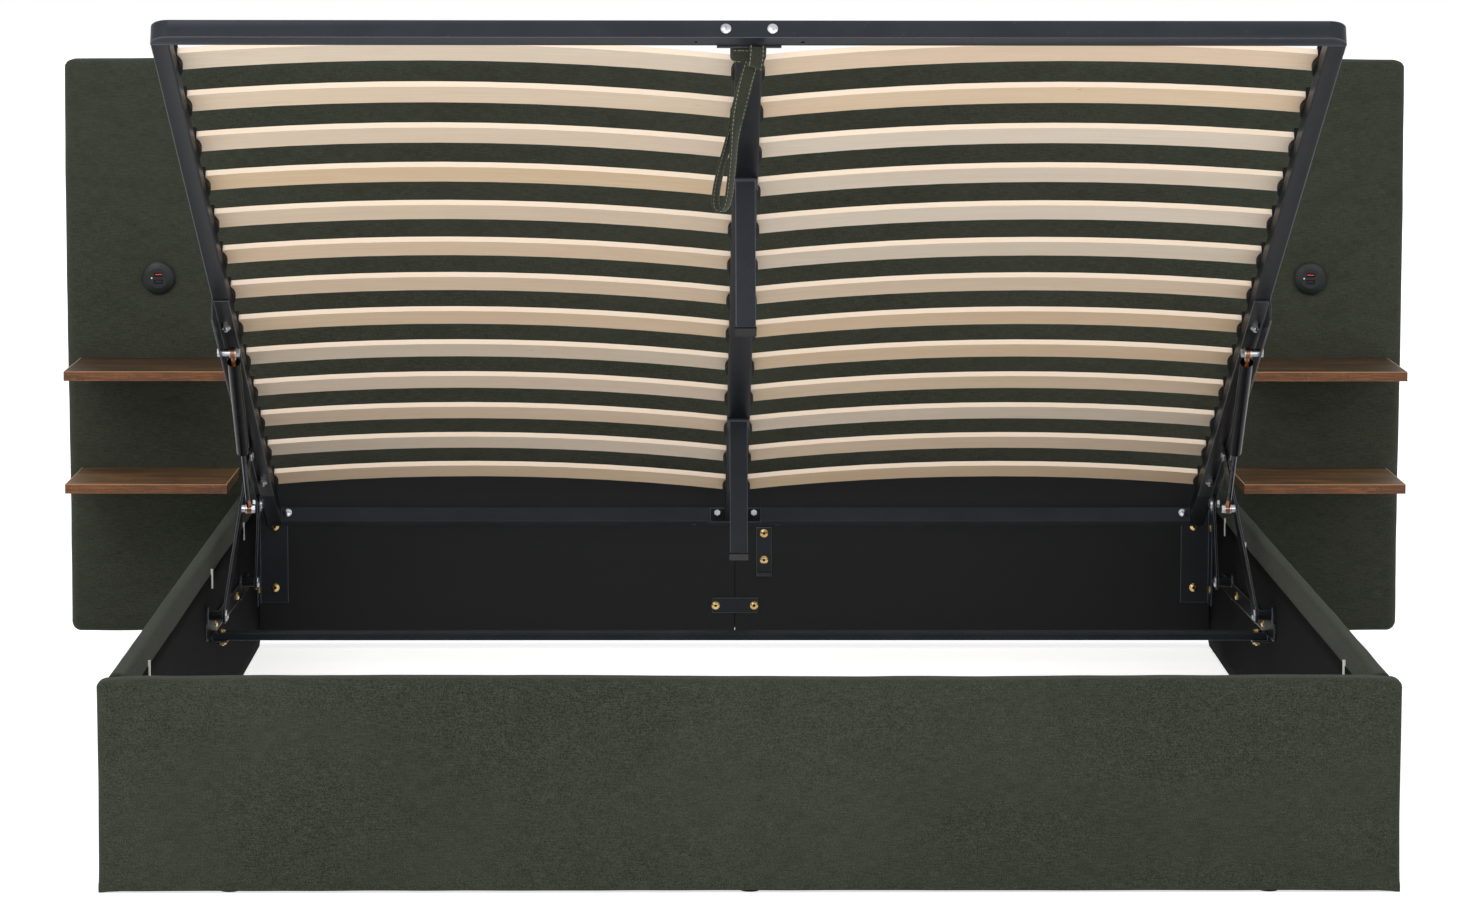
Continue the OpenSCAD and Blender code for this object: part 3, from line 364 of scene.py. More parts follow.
def birch():
    """Laminated birch slats: grain along the slat, each slat its own tone, plies on the long edges."""
    mat = Mat("birch")
    moved = mat.node("ShaderNodeVectorMath", {0: mat.place, 1: tuple(FRAME_ZERO)}, operation="SUBTRACT")
    turn = {"Vector": moved, "Axis": (1, 0, 0), "Angle": OPEN}
    x, minus_u, h = mat.xyz(mat.node("ShaderNodeVectorRotate", turn, rotation_type="AXIS_ANGLE"))
    u = minus_u * -1.0
    row = (u - SLAT_HEAD) / SLAT_PITCH + 0.5
    index = mat.math("FLOOR", row)
    edge = abs((row - index - 0.5) * SLAT_PITCH) > SLAT_W / 2 - SLAT_EDGE
    # The slats of the right half get tones of their own
    right_half = (x > 0.0) * 31.0
    seed = mat.node("ShaderNodeTexWhiteNoise", {"W": index + right_half}, noise_dimensions="1D")
    shift = seed * 40.0
    grain = mat.noise(mat.vector(x * 7.0, u * 260.0 + shift, h * 90.0), 5.0, 0.62, 0.7)
    band = mat.noise(mat.vector(x * 2.1, u * 34.0 + shift, 2.0), 3.0, 0.5, 0.4)
    knot = mat.noise(mat.vector(x * 16.0, u * 60.0 + shift, 9.0), 3.0, 0.7, 0.5)
    tone = [(0.0, "#E2D2BC"), (0.25, "#F6E8D8"), (0.5, "#EBC79A"), (0.75, "#F2DFCC"), (1.0, "#E8C49E")]
    face = mat.ramp(grain, [(0.3, "#DAC3A6"), (0.52, "#EEDAC0"), (0.72, "#F8E8D2")])
    face = mat.lay(face, "#E0C29C", band, (0.42, 0.0), (0.68, 0.5))
    face = mat.mix(0.62, face, mat.ramp(seed, tone))
    face = mat.lay(face, "#8C6238", knot, (0.735, 0.0), (0.79, 0.75))
    above_arc = mat.length(abs(x) - SLAT_ARC_X, h - SLAT_ARC_H) - SLAT_R
    plies = mat.math("SINE", above_arc * (2 * math.pi / PLY_PITCH))
    streak = mat.noise(mat.vector(x * 11.0, shift, h * 600.0), 3.0, 0.6)
    rim = mat.lay("#F0DFCB", "#DDBB98", plies, (0.0, 0.0), (1.0, 0.35))
    rim = mat.lay(rim, "#EBC8AA", streak, (0.45, 0.0), (0.7, 0.35))
    relief = mat.bump(grain + plies * 0.15, 0.18, 0.0006)
    return mat.done(mat.mix(edge, face, rim), 0.42 + grain * 0.2, relief, Specular_IOR_Level=0.35)


# Width of the pale lines along a shelf's upper edges, and depth of the edge band on its front
PALE_END, PALE_LIP, EDGE_BAND = 0.0016, 0.0014, 0.0008


def walnut(top_z, painted_light_gain):
    """Walnut foil: brown figure along X on the top, a redder front edge, pale lines round the top."""
    mat = Mat("walnut_%d" % round(top_z * 1000))
    x, y, z = mat.xyz(mat.place)
    out = abs(x)
    figure = mat.noise(mat.vector(x * 3.4, y * 24.0, z * 24.0), 5.0, 0.62, 0.9)
    fine = mat.noise(mat.vector(x * 26.0, y * 420.0, z * 420.0), 4.0, 0.6)
    blot = mat.noise(mat.vector(x * 9.0, y * 13.0, top_z * 30), 4.0, 0.6, 0.6)
    top = mat.ramp(figure, [(0.32, "#3C2B1A"), (0.5, "#60462B"), (0.68, "#7E5C38")])
    top = mat.lay(top, "#45402E", blot, (0.36, 0.5), (0.5, 0.0))
    top = mat.lay(top, "#463032", blot, (0.52, 0.0), (0.68, 0.5))
    top = mat.lay(top, "#2E2117", fine, (0.42, 0.0), (0.66, 0.5))
    # Painted light and shade: the top's colour is scaled up on the lower shelves and down on the upper ones
    top = mat.mix(1.0, top, (painted_light_gain, painted_light_gain, painted_light_gain, 1), "MULTIPLY")
    mark = mat.noise(mat.vector(x * 45.0, 3.0, z * 260.0), 3.0, 0.6, 0.8)
    burl = mat.noise(mat.vector(x * 210.0, 5.0, z * 210.0), 2.0, 0.7)
    patch = mat.noise(mat.vector(x * 14.0, 8.0, top_z * 50), 1.0, 0.5)
    dots = mat.grey(burl, (0.52, 0.0), (0.62, 0.8)) * mat.grey(patch, (0.45, 0.0), (0.6, 1.0))
    front = mat.ramp(figure, [(0.3, "#5A300A"), (0.52, "#6E3D0F"), (0.7, "#7C4A14")])
    front = mat.lay(front, "#3A1F08", fine, (0.46, 0.0), (0.56, 0.45))
    front = mat.lay(front, "#8E5A20", fine, (0.36, 0.4), (0.46, 0.0))
    front = mat.lay(front, "#3A200E", mark, (0.6, 0.0), (0.68, 0.5))
    front = mat.mix(dots, front, "#38211A")
    lo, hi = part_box("shelf_upper_right")
    is_front = y < lo[1] + EDGE_BAND
    is_end = mat.math("MAXIMUM", out > hi[0] - PALE_END, out < lo[0] + PALE_END)
    is_upper = z > top_z - PALE_LIP
    colour = mat.mix(is_front, top, front)
    colour = mat.mix(is_end * is_upper * 0.85, colour, "#C4AE90")
    colour = mat.mix(is_upper * is_front * 0.75, colour, "#AE8258")
    return mat.done(colour, 0.4 + fine * 0.2, mat.bump(fine, 0.2, 0.0003), Specular_IOR_Level=0.4)


def black_foil():
    """Black foil on board: a faint leather grain and a soft gloss."""
    mat = Mat("black_foil")
    cloud = mat.speckle((5, 5, 7), 3.0, 0.5)
    colour = mat.lay("#0F1011", "#17181A", cloud, (0.3, 0.0), (0.75, 0.45))
    relief = mat.bump(mat.cells(620.0), 0.12, 0.0005, mat.bump(cloud, 0.2, 0.003))
    return mat.done(colour, 0.46 + cloud * 0.14, relief, Specular_IOR_Level=0.17)


def black_cloth(name, dark, mid, light):
    """Thin non-woven cloth: matted fibres and a dimple pattern."""
    mat = Mat(name)
    fibres = mat.speckle((260, 90, 260), 4.0, 0.7)
    wave = mat.speckle((4, 4, 9), 3.0, 0.5)
    colour = mat.ramp(fibres, [(0.3, dark), (0.55, mid), (0.75, light)])
    relief = mat.bump(mat.cells(500.0) + fibres, 0.3, 0.0005, mat.bump(wave, 0.5, 0.004))
    return mat.done(colour, 0.92, relief, Specular_IOR_Level=0.06)


def webbing():
    """Strap cloth: a close diagonal weave."""
    mat = Mat("webbing")
    fibres = mat.speckle(900, 3.0, 0.6)
    wave = {"Vector": mat.place, "Scale": 260.0, "Distortion": 1.5}
    threads = mat.node("ShaderNodeTexWave", wave, 1, bands_direction="DIAGONAL")
    colour = mat.ramp(fibres, [(0.32, "#1B1D16"), (0.5, "#282B20"), (0.7, "#3A3D2F")])
    relief = mat.bump(fibres + threads, 0.4, 0.0006)
    return mat.done(colour, 0.88, relief, Sheen_Weight=0.12, Specular_IOR_Level=0.25)


MATERIALS = {
    "headboard": weave("headboard_weave", "#383B32", "#484C41", "#25281F", 0.2),
    "panel": weave("panel_weave", "#2F3229", "#454A3D", "#1B1F17", 0.6),
    "steel": powder("satin_steel", "#2A2D32", 0.34, 0.07),
    # Painted shade: the side tubes, the beam and its end plates take a darker copy of the frame's coated
    # steel, which offsets the strong light from below on the side tubes
    "tube": powder("tube_steel", "#181A1E", 0.36, 0.045),
    "bracket": powder("bracket_steel", "#1D2125", 0.36, 0.12),
    "bar": powder("cross_bar_steel", "#121A20", 0.36, 0.12),
    "link": powder("link_steel", "#090B0D", 0.3, 0.1),
    "chrome": zinc("bright_zinc", "#C9CBCE", "#A9AEB4", 0.26),
    "gold": zinc("yellow_zinc", "#DCC28C", "#AF8F54", 0.24),
    "black": plastic("black_plastic", "#0F1011", "#1C1D1F", 0.5, 0.12, 0.1),
    "face": plastic("socket_face", "#1B1C20", "#202126", 0.42, 0.0, 0.2),
    "white": plastic("white_plastic", "#F4F4F0", "#E4E4DE", 0.5),
    "red": plastic("red_plastic", "#C43428", "#E0604C", 0.35),
    "birch": birch(),
    "foil": black_foil(),
    "cloth": black_cloth("black_cloth", "#070708", "#0C0C0D", "#141415"),
    "backing": black_cloth("backing_cloth", "#141416", "#202122", "#303132"),
    "webbing": webbing(),
    "thread": plastic("thread", "#7E8069", "#96977F", 0.8),
    "board": plastic("board_edge", "#B8935F", "#8F6E42", 0.8),
}


def both(*names):
    """The left and the right node of each name."""
    return ["%s_%s" % (name, side) for name in names for side in SIDES]


WORN_BY = {
    "foil": both("head_end_panel"),
    "steel": ["foot_bar", "head_bar", "support_legs"],
    "tube": both("side_tube") + ["centre_beam", "beam_end_plates"],
    "bracket": ["panel_joint_plate", "centre_bracket", "corner_brackets"],
    "bar": ["cross_bar"],
    "link": both("mechanism_base", "lift_rail", "front_link", "rear_link"),
    "chrome": ["shelf_rods", "frame_bolts", "base_pivot_bolts", "rail_pivot_bolts",
               "upper_strut_studs", "lower_strut_studs"],
    "gold": ["panel_bolts"],
    "face": both("socket"),
    "white": ["lining_clips"],
    "black": ["floor_glides", "leg_foot_caps", "slat_holders_outer", "slat_holders_centre"],
    "birch": both("slats"),
    "board": both("side_core") + ["headboard_core", "footboard_core"],
}
# Painted light and shade on the shelf tops: the lower ones stand in shade and are painted brighter, the upper
# ones darker, so that both levels look alike
SHELF_PAINTED_LIGHT = {"upper": 0.68, "lower": 1.75}


def dress(node, material):
    """Gives a node of the frame its material."""
    ob = NODES[node]
    ob.data.materials.clear()
    ob.data.materials.append(material)


for key, names in WORN_BY.items():
    for name in names:
        dress(name, MATERIALS[key])
for side in SIDES:
    rod, cylinder = "strut_rod_%s" % side, "strut_cylinder_%s" % side
    dress(rod, strut_steel(rod, "lower_strut_studs", "#26282C", "#3C3E44", 0.25))
    dress(cylinder, strut_steel(cylinder, "upper_strut_studs", "#0C0D0F", "#141518", 0.3))
    dress("socket_bezel_%s" % side, bezel(side))
for level, painted_light_gain in SHELF_PAINTED_LIGHT.items():
    foil = walnut(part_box("shelf_%s_left" % level)[1][2], painted_light_gain)
    for side in SIDES:
        dress("shelf_%s_%s" % (level, side), foil)


def piece(name, verts, faces, material, body, smooth=True, angle=None):
    """Makes a piece with the given material that rides on body; edges sharper than angle degrees stay crisp.
    """
    mesh = bpy.data.meshes.new(name)
    mesh.from_pydata([tuple(v) for v in verts], [], faces)
    mesh.validate()
    mesh.materials.append(material)
    ob = bpy.data.objects.new(name, mesh)
    scene.collection.objects.link(ob)
    if smooth:
        mesh.shade_smooth()
    if angle:
        bpy.context.view_layer.objects.active = ob
        ob.select_set(True)
        bpy.ops.object.shade_smooth_by_angle(angle=math.radians(angle))
        ob.select_set(False)
    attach(ob, body)
    return ob


# Where the grid lines over a rounded edge stand, as shares of its radius
EASE = (0, 0.12, 0.3, 0.55, 0.78, 1)


def grid_lines(lo, hi, r, step):
    """Grid positions from lo to hi, close together where the rounded edges are."""
    flat = hi - lo - 2 * r
    count = max(1, round(flat / step))
    out = [lo + r * e for e in EASE]
    out += [lo + r + flat * i / count for i in range(1, count)]
    out += [hi - r * e for e in reversed(EASE)]
    return out


def rounded_panel(lo, hi, r, step, shape):
    """A closed upholstered panel: a box with edges rounded by r, its points moved by shape(point, normal)."""
    axes = [grid_lines(lo[k], hi[k], min(r, (hi[k] - lo[k]) / 2 - 1e-4), step) for k in range(3)]
    count = [len(a) for a in axes]
    index, verts, faces = {}, [], []

    def vert(key):
        if key not in index:
            p = Vector([axes[k][key[k]] for k in range(3)])
            q = Vector([min(max(p[k], lo[k] + r), hi[k] - r) for k in range(3)])
            n = (p - q).normalized() if (p - q).length > 1e-9 else Vector((0, 0, 1))
            index[key] = len(verts)
            verts.append(shape(q + n * r, n))
        return index[key]

    for k in range(3):
        i, j = (k + 1) % 3, (k + 2) % 3
        for end in (0, count[k] - 1):
            for a in range(count[i] - 1):
                for b in range(count[j] - 1):
                    quad = []
                    for da, db in ((0, 0), (1, 0), (1, 1), (0, 1)):
                        key = [0, 0, 0]
                        key[k], key[i], key[j] = end, a + da, b + db
                        quad.append(vert(tuple(key)))
                    faces.append(quad if end else quad[::-1])
    return verts, faces


def smooth_step(e0, e1, v):
    """From 0 at e0 to 1 at e1, with soft ends."""
    t = min(max((v - e0) / (e1 - e0), 0), 1)
    return t * t * (3 - 2 * t)


# A point of a cover faces a way when its normal's part that way is larger than this
FACING = 0.3

# Headboard cover: foam under cloth, with drawn-in dimples at the sockets and slight pulls at the corners
HB_LO, HB_HI = (Vector(v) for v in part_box("headboard_cover"))
HB_R, HB_STEP = 0.018, 0.022
SOCKET_X, SOCKET_Z = 0.985, middle("socket_left")[2]
RING_R, RING_DEEP = 0.02, 0.0045
DIMPLE_R, DIMPLE_DEEP = 0.06, 0.003
# The back is flat and nearly sharp-edged: the form is made deeper by this much and cut off at BACK_Y
BACK_EXTRA = 0.012
BACK_Y = HB_HI.y - 0.0009


def headboard_shape(p, n):
    """Where a point p with the normal n goes on the headboard's cover."""
    p = p.copy()
    front = max(0.0, -n.y)
    for sx in SIDES.values():
        d = math.hypot(p.x - sx * SOCKET_X, p.z - SOCKET_Z)
        ring = RING_DEEP * math.exp(-((d - RING_R) / RING_R) ** 2)
        p.y += front * (ring + DIMPLE_DEEP * math.exp(-(d / DIMPLE_R) ** 2))
    # Slow waves over the front, and small puckers where the cloth is pulled over an edge
    p.y += front * 0.0012 * noise.noise(Vector((p.x * 3.1, 0, p.z * 4.2)))
    edge = min(p.x - HB_LO.x, HB_HI.x - p.x, HB_HI.z - p.z, p.z - HB_LO.z)
    pull = math.exp(-max(edge, 0) / 0.03)
    wave = noise.noise(Vector((p.x * 17, p.y * 9, p.z * 17)))
    p += n * (0.0007 * wave * pull - 0.0004 * pull)
    # The top sinks towards its ends, the ends are drawn in unevenly and the hem is lifted in places
    if n.z > FACING:
        p.z -= 0.004 * smooth_step(0.72, 1.14, abs(p.x)) * n.z
    if abs(n.x) > FACING:
        p.x -= math.copysign(0.003 * (0.5 + 0.5 * math.sin(p.z * 7.0)) * abs(n.x), n.x) * 0.6
    if n.z < -FACING:
        p.z += 0.0025 * (1 + math.cos(p.x * 2.7)) * abs(n.z)
    p.y = min(p.y, BACK_Y)
    return p


deep_hi = HB_HI + Vector((0, BACK_EXTRA, 0))
verts, faces = rounded_panel(HB_LO, deep_hi, HB_R, HB_STEP, headboard_shape)
hb = piece("headboard_upholstery", verts, faces, MATERIALS["headboard"], "base")
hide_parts("headboard_cover")

# Foot panel cover: the hem is a little higher in the middle, and the folded corners stand out at the bottom
FB_LO, FB_HI = (Vector(v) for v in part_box("footboard_cover"))
FB_R, FB_STEP = 0.013, 0.018
# Size of the folded corners
FOLD_R = 0.012


def footboard_shape(p, n):
    """Where a point p with the normal n goes on the foot panel's cover."""
    p = p.copy()
    up = (p.z - FB_LO.z) / (FB_HI.z - FB_LO.z)
    to_end = FB_HI.x - abs(p.x)
    front = max(0.0, -n.y)
    # Slow waves over the front, and small puckers where the cloth is pulled over an edge
    p.y -= front * (0.0012 * noise.noise(Vector((p.x * 2.6, 3.0, p.z * 6.0))))
    edge = min(to_end, FB_HI.z - p.z, p.z - FB_LO.z)
    pull = math.exp(-max(edge, 0) / 0.02)
    p += n * 0.0007 * noise.noise(Vector((p.x * 15, p.y * 8, p.z * 15))) * pull
    # A nearly sharp lower edge, lifted in the middle, and an uneven top that sinks at its ends
    if n.z < -0.05:
        p += n * (FB_R * 0.7 * (1 / max(abs(n.x), abs(n.y), abs(n.z)) - 1))
        p.z += 0.001 * (1 - (p.x / FB_HI.x) ** 2) * abs(n.z)
    if n.z > 0.2:
        p.z -= n.z * (0.0012 + 0.001 * math.sin(p.x * 5.2 + 0.6) + 0.0022 * smooth_step(0.05, 0.0, to_end))
    fold = math.exp(-((to_end / FOLD_R) ** 2)) * math.exp(-(((p.z - FB_LO.z) / FOLD_R) ** 2))
    p.z -= 0.003 * fold
    p.x += math.copysign(0.0016 * fold, p.x)
    if abs(n.x) > FACING:
        p.x -= math.copysign(0.0012 * math.exp(-(((up - 0.5) / 0.35) ** 2)), p.x)
    return p


verts, faces = rounded_panel(FB_LO, FB_HI, FB_R, FB_STEP, footboard_shape)
fb = piece("footboard_upholstery", verts, faces, MATERIALS["panel"], "base")
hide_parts("footboard_cover")

# Side panel covers: a soft rounded top, slightly uneven along the length, and flat ends
SIDE_R, SIDE_STEP = 0.0075, 0.02
for side, sx in SIDES.items():
    lo, hi = (Vector(v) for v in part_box("side_cover_%s" % side))
    # The form is made longer by its rounding and cut off flat at y0 and y1
    y0, y1 = lo.y, hi.y
    lo.y -= SIDE_R
    hi.y += SIDE_R

    def side_shape(p, n, sx=sx, y0=y0, y1=y1):
        p = p.copy()
        p.y = min(max(p.y, y0), y1)
        p += n * 0.0006 * noise.noise(Vector((sx * 5, p.y * 9, p.z * 14)))
        if n.z > 0.2:
            p.z -= n.z * (0.0008 + 0.0008 * math.sin(p.y * 4.1 + sx))
        return p

    verts, faces = rounded_panel(lo, hi, SIDE_R, SIDE_STEP, side_shape)
    ob = piece("side_upholstery_%s" % side, verts, faces, MATERIALS["panel"], "base")
    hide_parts("side_cover_%s" % side)


# Share of the CAD cloth's thickness that a sheet takes, and unevenness of its ends
SHEET_T, SHEET_END = 0.6, 0.0006


def cloth_sheet(name, lo, hi, axis, material, replaced, amp=0.0004, step=0.02):
    """A thin stretched cloth on a flat face, with slight waves; axis is the one it is thin along."""
    i, j = [k for k in range(3) if k != axis]
    ni, nj = max(2, round((hi[i] - lo[i]) / step)), max(2, round((hi[j] - lo[j]) / step))
    verts, faces = [], []
    mid = (lo[axis] + hi[axis]) / 2
    for a in range(ni + 1):
        for b in range(nj + 1):
            p = [0.0, 0.0, 0.0]
            p[i] = lo[i] + (hi[i] - lo[i]) * a / ni
            p[j] = lo[j] + (hi[j] - lo[j]) * b / nj
            p[axis] = mid + amp * noise.noise(Vector((p[i] * 6, p[j] * 9, axis)))
            if a in (0, ni):
                cut = SHEET_END + SHEET_END * noise.noise(Vector((p[j] * 20, a, 1)))
                p[i] -= math.copysign(cut, a - 1)
            verts.append(p)
    for a in range(ni):
        for b in range(nj):
            k = a * (nj + 1) + b
            faces.append((k, k + nj + 1, k + nj + 2, k + 1))
    ob = piece(name, verts, faces, material, "base")
    thick = ob.modifiers.new("thick", "SOLIDIFY")
    thick.thickness = (hi[axis] - lo[axis]) * SHEET_T
    thick.offset = 0
    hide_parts(replaced)
    hi[i] - lo[i]
    hi[j] - lo[j]


for side in SIDES:
    lo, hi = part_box("side_lining_%s" % side)
    cloth_sheet("side_cloth_%s" % side, lo, hi, 0, MATERIALS["cloth"], "side_lining_%s" % side)
lo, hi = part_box("footboard_lining")
cloth_sheet("foot_cloth", lo, hi, 1, MATERIALS["cloth"], "footboard_lining")
# The headboard's back cloth lies on the flat back of the cover
lo, hi = (Vector(v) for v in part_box("headboard_backing"))
lo.y, hi.y = BACK_Y - 0.0001, BACK_Y + 0.0013
cloth_sheet("headboard_back_cloth", lo, hi, 1, MATERIALS["backing"],
            "headboard_backing", 0.0003, 0.03)

# Width and thickness of the strap's webbing, and its width in the two hanging plies and in the knot
STRAP_W, STRAP_T = 0.022, 0.0024
TAIL_W, KNOT_W = 0.02, 0.021
# Outline of a band's cut, as shares of half its width and half its thickness
BAND = [(-1, -0.6), (-0.93, -1), (0.93, -1), (1, -0.6), (1, 0.6), (0.93, 1), (-0.93, 1), (-1, 0.6)]
STITCH_PITCH, STITCH_L, STITCH_W, STITCH_T = 0.0056, 0.0036, 0.001, 0.0008
# Distance of the stitches from the band's edge
STITCH_IN = 0.0024


def band_axes(run, wide):
    """A band's directions where it runs along run: forward, across and out of its face."""
    forward = run.normalized()
    across = (wide - forward * wide.dot(forward)).normalized()
    return forward, across, forward.cross(across)


def ring_faces(sides, rings):
    """Faces of a closed form whose points are rings with the same number of sides, one after the other."""
    faces = []
    for ring in range(rings - 1):
        for k in range(sides):
            here, there = sides * ring, sides * (ring + 1)
            after = (k + 1) % sides
            faces.append((here + k, here + after, there + after, there + k))
    faces.append(tuple(range(sides))[::-1])
    faces.append(tuple(range(sides * (rings - 1), sides * rings)))
    return faces


class Build:
    """Collects points and faces of many small parts in one mesh."""

    def __init__(self):
        self.verts, self.faces = [], []

    def add(self, verts, faces):
        start = len(self.verts)
        self.verts += [tuple(p) for p in verts]
        self.faces += [tuple(i + start for i in face) for face in faces]

    def ribbon(self, points, wide, width, closed=False):
        """A flat band along points; wide holds the band's width direction at each point."""
        n, m = len(points), len(BAND)
        verts = []
        for i, p in enumerate(points):
            before = points[(i - 1) % n] if closed else points[max(i - 1, 0)]
            after = points[(i + 1) % n] if closed else points[min(i + 1, n - 1)]
            across, out = band_axes(after - before, wide[i])[1:]
            verts += [p + across * (width / 2 * x) + out * (STRAP_T / 2 * y) for x, y in BAND]
        faces = ring_faces(m, n)
        if closed:
            last = m * (n - 1)
            faces = faces[:-2] + [(last + k, last + (k + 1) % m, (k + 1) % m, k) for k in range(m)]
        self.add(verts, faces)

    def stitches(self, points, wide, width):
        """Short threads along both edges of a band, on both faces."""
        run = 0.0
        for i in range(len(points) - 1):
            step = points[i + 1] - points[i]
            forward, across, out = band_axes(step, wide[i])
            long, half_w, half_t = forward * (STITCH_L / 2), across * (STITCH_W / 2), out * (STITCH_T / 2)
            while run < step.length:
                for edge in (-1, 1):
                    at = points[i] + forward * run + across * (edge * (width / 2 - STITCH_IN))
                    for face in (-1, 1):
                        self.box(at + out * (face * STRAP_T / 2), long, half_w, half_t)
                run += STITCH_PITCH
            run -= step.length

    def box(self, c, x, y, z):
        """A box round c; x, y and z are half its edges."""
        corners = [c + x * i + y * j + z * k for k in (-1, 1) for j in (-1, 1) for i in (-1, 1)]
        faces = [(0, 2, 3, 1), (4, 5, 7, 6), (0, 1, 5, 4), (2, 6, 7, 3), (0, 4, 6, 2), (1, 3, 7, 5)]
        self.add(corners, faces)


def curve(points, n):
    """A smooth path through points, with n steps from each to the next."""
    pts = [Vector(p) for p in points]
    pts = [pts[0] * 2 - pts[1]] + pts + [pts[-1] * 2 - pts[-2]]
    out = []
    for i in range(1, len(pts) - 2):
        a, b, c, d = pts[i - 1:i + 3]
        for k in range(n):
            t = k / n
            slope = (c - a) * t
            bend = (2 * a - 5 * b + 4 * c - d) * t * t
            out.append(0.5 * (2 * b + slope + bend + (3 * b - a - 3 * c + d) * t ** 3))
    out.append(pts[-2])
    return out


def closed_curve(points, n):
    """A smooth closed path through points."""
    k = len(points)
    return [p for i in range(k) for p in curve([points[(i + j) % k] for j in range(-1, 3)], n)[n:2 * n]]


# Pull strap: webbing tied round the beam, its two plies hanging to the left and parting into a hand loop
# Steps of a curve from each of its points to the next
STEPS = 6
strap, thread = Build(), Build()
along = (on_frame(0, 1, 0) - on_frame(0, 0, 0)).normalized()

# The collar hangs loose under the beam, its face to the foot end, and lies flat on the other sides
sag = Vector((0, -0.5, 0.866))
half_sag = (sag + along) / 2
low = on_frame(0, 1.9455, -0.0025) - sag * (STRAP_W / 2)
collar = [
    (low + Vector((0, -0.001, 0)), sag),
    (low + Vector((-0.014, 0, 0.001)), sag),
    (low + Vector((-0.0235, 0.002, 0.004)), half_sag),
    (on_frame(-0.0222, 1.933, 0.010), along),
    (on_frame(-0.0195, 1.932, 0.0212), along),
    (on_frame(-0.012, 1.932, 0.0218), along),
    (on_frame(0.012, 1.932, 0.0218), along),
    (on_frame(0.0195, 1.932, 0.0212), along),
    (on_frame(0.0212, 1.933, 0.010), along),
    (low + Vector((0.0212, 0.002, 0.004)), half_sag),
    (low + Vector((0.013, 0, 0.001)), sag),
]
points, wide = (closed_curve(row, STEPS) for row in zip(*collar))
strap.ribbon(points, wide, STRAP_W, closed=True)
# The collar's stitching shows on its lowest stretch only
lowest = [(x, -0.001 if abs(x) < 0.01 else 0, 0.0005) for x in (-0.019, -0.010, 0, 0.010, 0.017)]
seam = curve([low + Vector(p) for p in lowest], STEPS)
thread.stitches(seam, [sag] * len(seam), STRAP_W)


def tail(s, gap):
    """A point of the hanging plies, s below the knot and gap from their middle, and its width direction."""
    turn = math.radians(62) * smooth_step(0.02, 0.13, s)
    wide = Vector((math.cos(turn), math.sin(turn), 0))
    apart = Vector((-math.sin(turn), math.cos(turn), 0))
    # They lean to the left, and less so further down
    mid = Vector((0.0055 - 0.31 * s + 0.48 * s * s, -0.8335 + 0.03 * min(s, 0.15), 1.0795 - s))
    return mid + apart * gap, wide


# One ply: how far below the knot, and how far from the middle between the two
ply = [
    (0.0, 0.0014), (0.03, 0.0015), (0.065, 0.0018), (0.092, 0.0024), (0.115, 0.0046),
    (0.14, 0.0076), (0.165, 0.0095), (0.185, 0.0098), (0.199, 0.0072), (0.2045, 0.0),
]
plies = [tail(s, gap) for s, gap in ply] + [tail(s, -gap) for s, gap in reversed(ply[:-1])]
slant = Vector((0.92, 0, -0.39))
knot = [
    ((0.0105, -0.8515, 1.0945), slant),
    ((0.0100, -0.8545, 1.0820), slant),
    ((0.0090, -0.8530, 1.0725), slant),
    ((0.0080, -0.8460, 1.0675), slant),
    ((0.0075, -0.8390, 1.0700), slant),
]
for band, width in ((plies, TAIL_W), (knot, KNOT_W)):
    points, wide = (curve(row, STEPS) for row in zip(*band))
    strap.ribbon(points, wide, width)
    thread.stitches(points, wide, width)
ob = piece("pull_strap_webbing", strap.verts, strap.faces, MATERIALS["webbing"],
           "lift_frame", angle=40)
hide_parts("pull_strap")
piece("pull_strap_stitching", thread.verts, thread.faces, MATERIALS["thread"], "lift_frame")


def block(name, centre, half, material):
    """A small box on the base as a piece of its own; half is half its size along each axis."""
    build = Build()
    edges = [Vector([half[k] if k == axis else 0 for k in range(3)]) for axis in range(3)]
    build.box(Vector(centre), *edges)
    return piece(name, build.verts, build.faces, material, "base", smooth=False)


# Charging ports: a red tongue fills the upper one, a dark shutter the lower one
PORT_Y, PORT_RISE, PORT_SOFT = 1.0212, 0.006, 0.0005
PORTS = (
    ("port_tongue", "red", PORT_RISE, (0.0062, 0.0022, 0.0012)),
    ("port_shutter", "face", -PORT_RISE, (0.0062, 0.0022, 0.0024)),
)


def port(side, name, key, rise, half):
    """What fills one port of a side's socket, with softened edges."""
    centre = (SIDES[side] * SOCKET_X, PORT_Y, SOCKET_Z + rise)
    ob = block("%s_%s" % (name, side), centre, half, MATERIALS[key])
    soft = ob.modifiers.new("soft", "BEVEL")
    soft.width = PORT_SOFT
    soft.segments = 2


# Socket lamp: a low dome, as rings with their share of its radius and their height over the socket's face
FACE_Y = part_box("socket_left")[0][1]
LAMP_OUT, LAMP_R, LAMP_SIDES = 0.0112, 0.0016, 12
LAMP_RINGS = ((1, -0.0006), (0.8, 0.0003), (0.001, 0.0006))


def lamp(side):
    """The small lamp to the left of a side's ports."""
    verts = []
    for share, height in LAMP_RINGS:
        for k in range(LAMP_SIDES):
            t = math.tau * k / LAMP_SIDES
            x = SIDES[side] * SOCKET_X - LAMP_OUT + LAMP_R * share * math.cos(t)
            verts.append((x, FACE_Y - height, SOCKET_Z + LAMP_R * share * math.sin(t)))
    faces = ring_faces(LAMP_SIDES, len(LAMP_RINGS))
    piece("socket_lamp_%s" % side, verts, faces, MATERIALS["white"], "base")


for side in SIDES:
    for row in PORTS:
        port(side, *row)
    lamp(side)


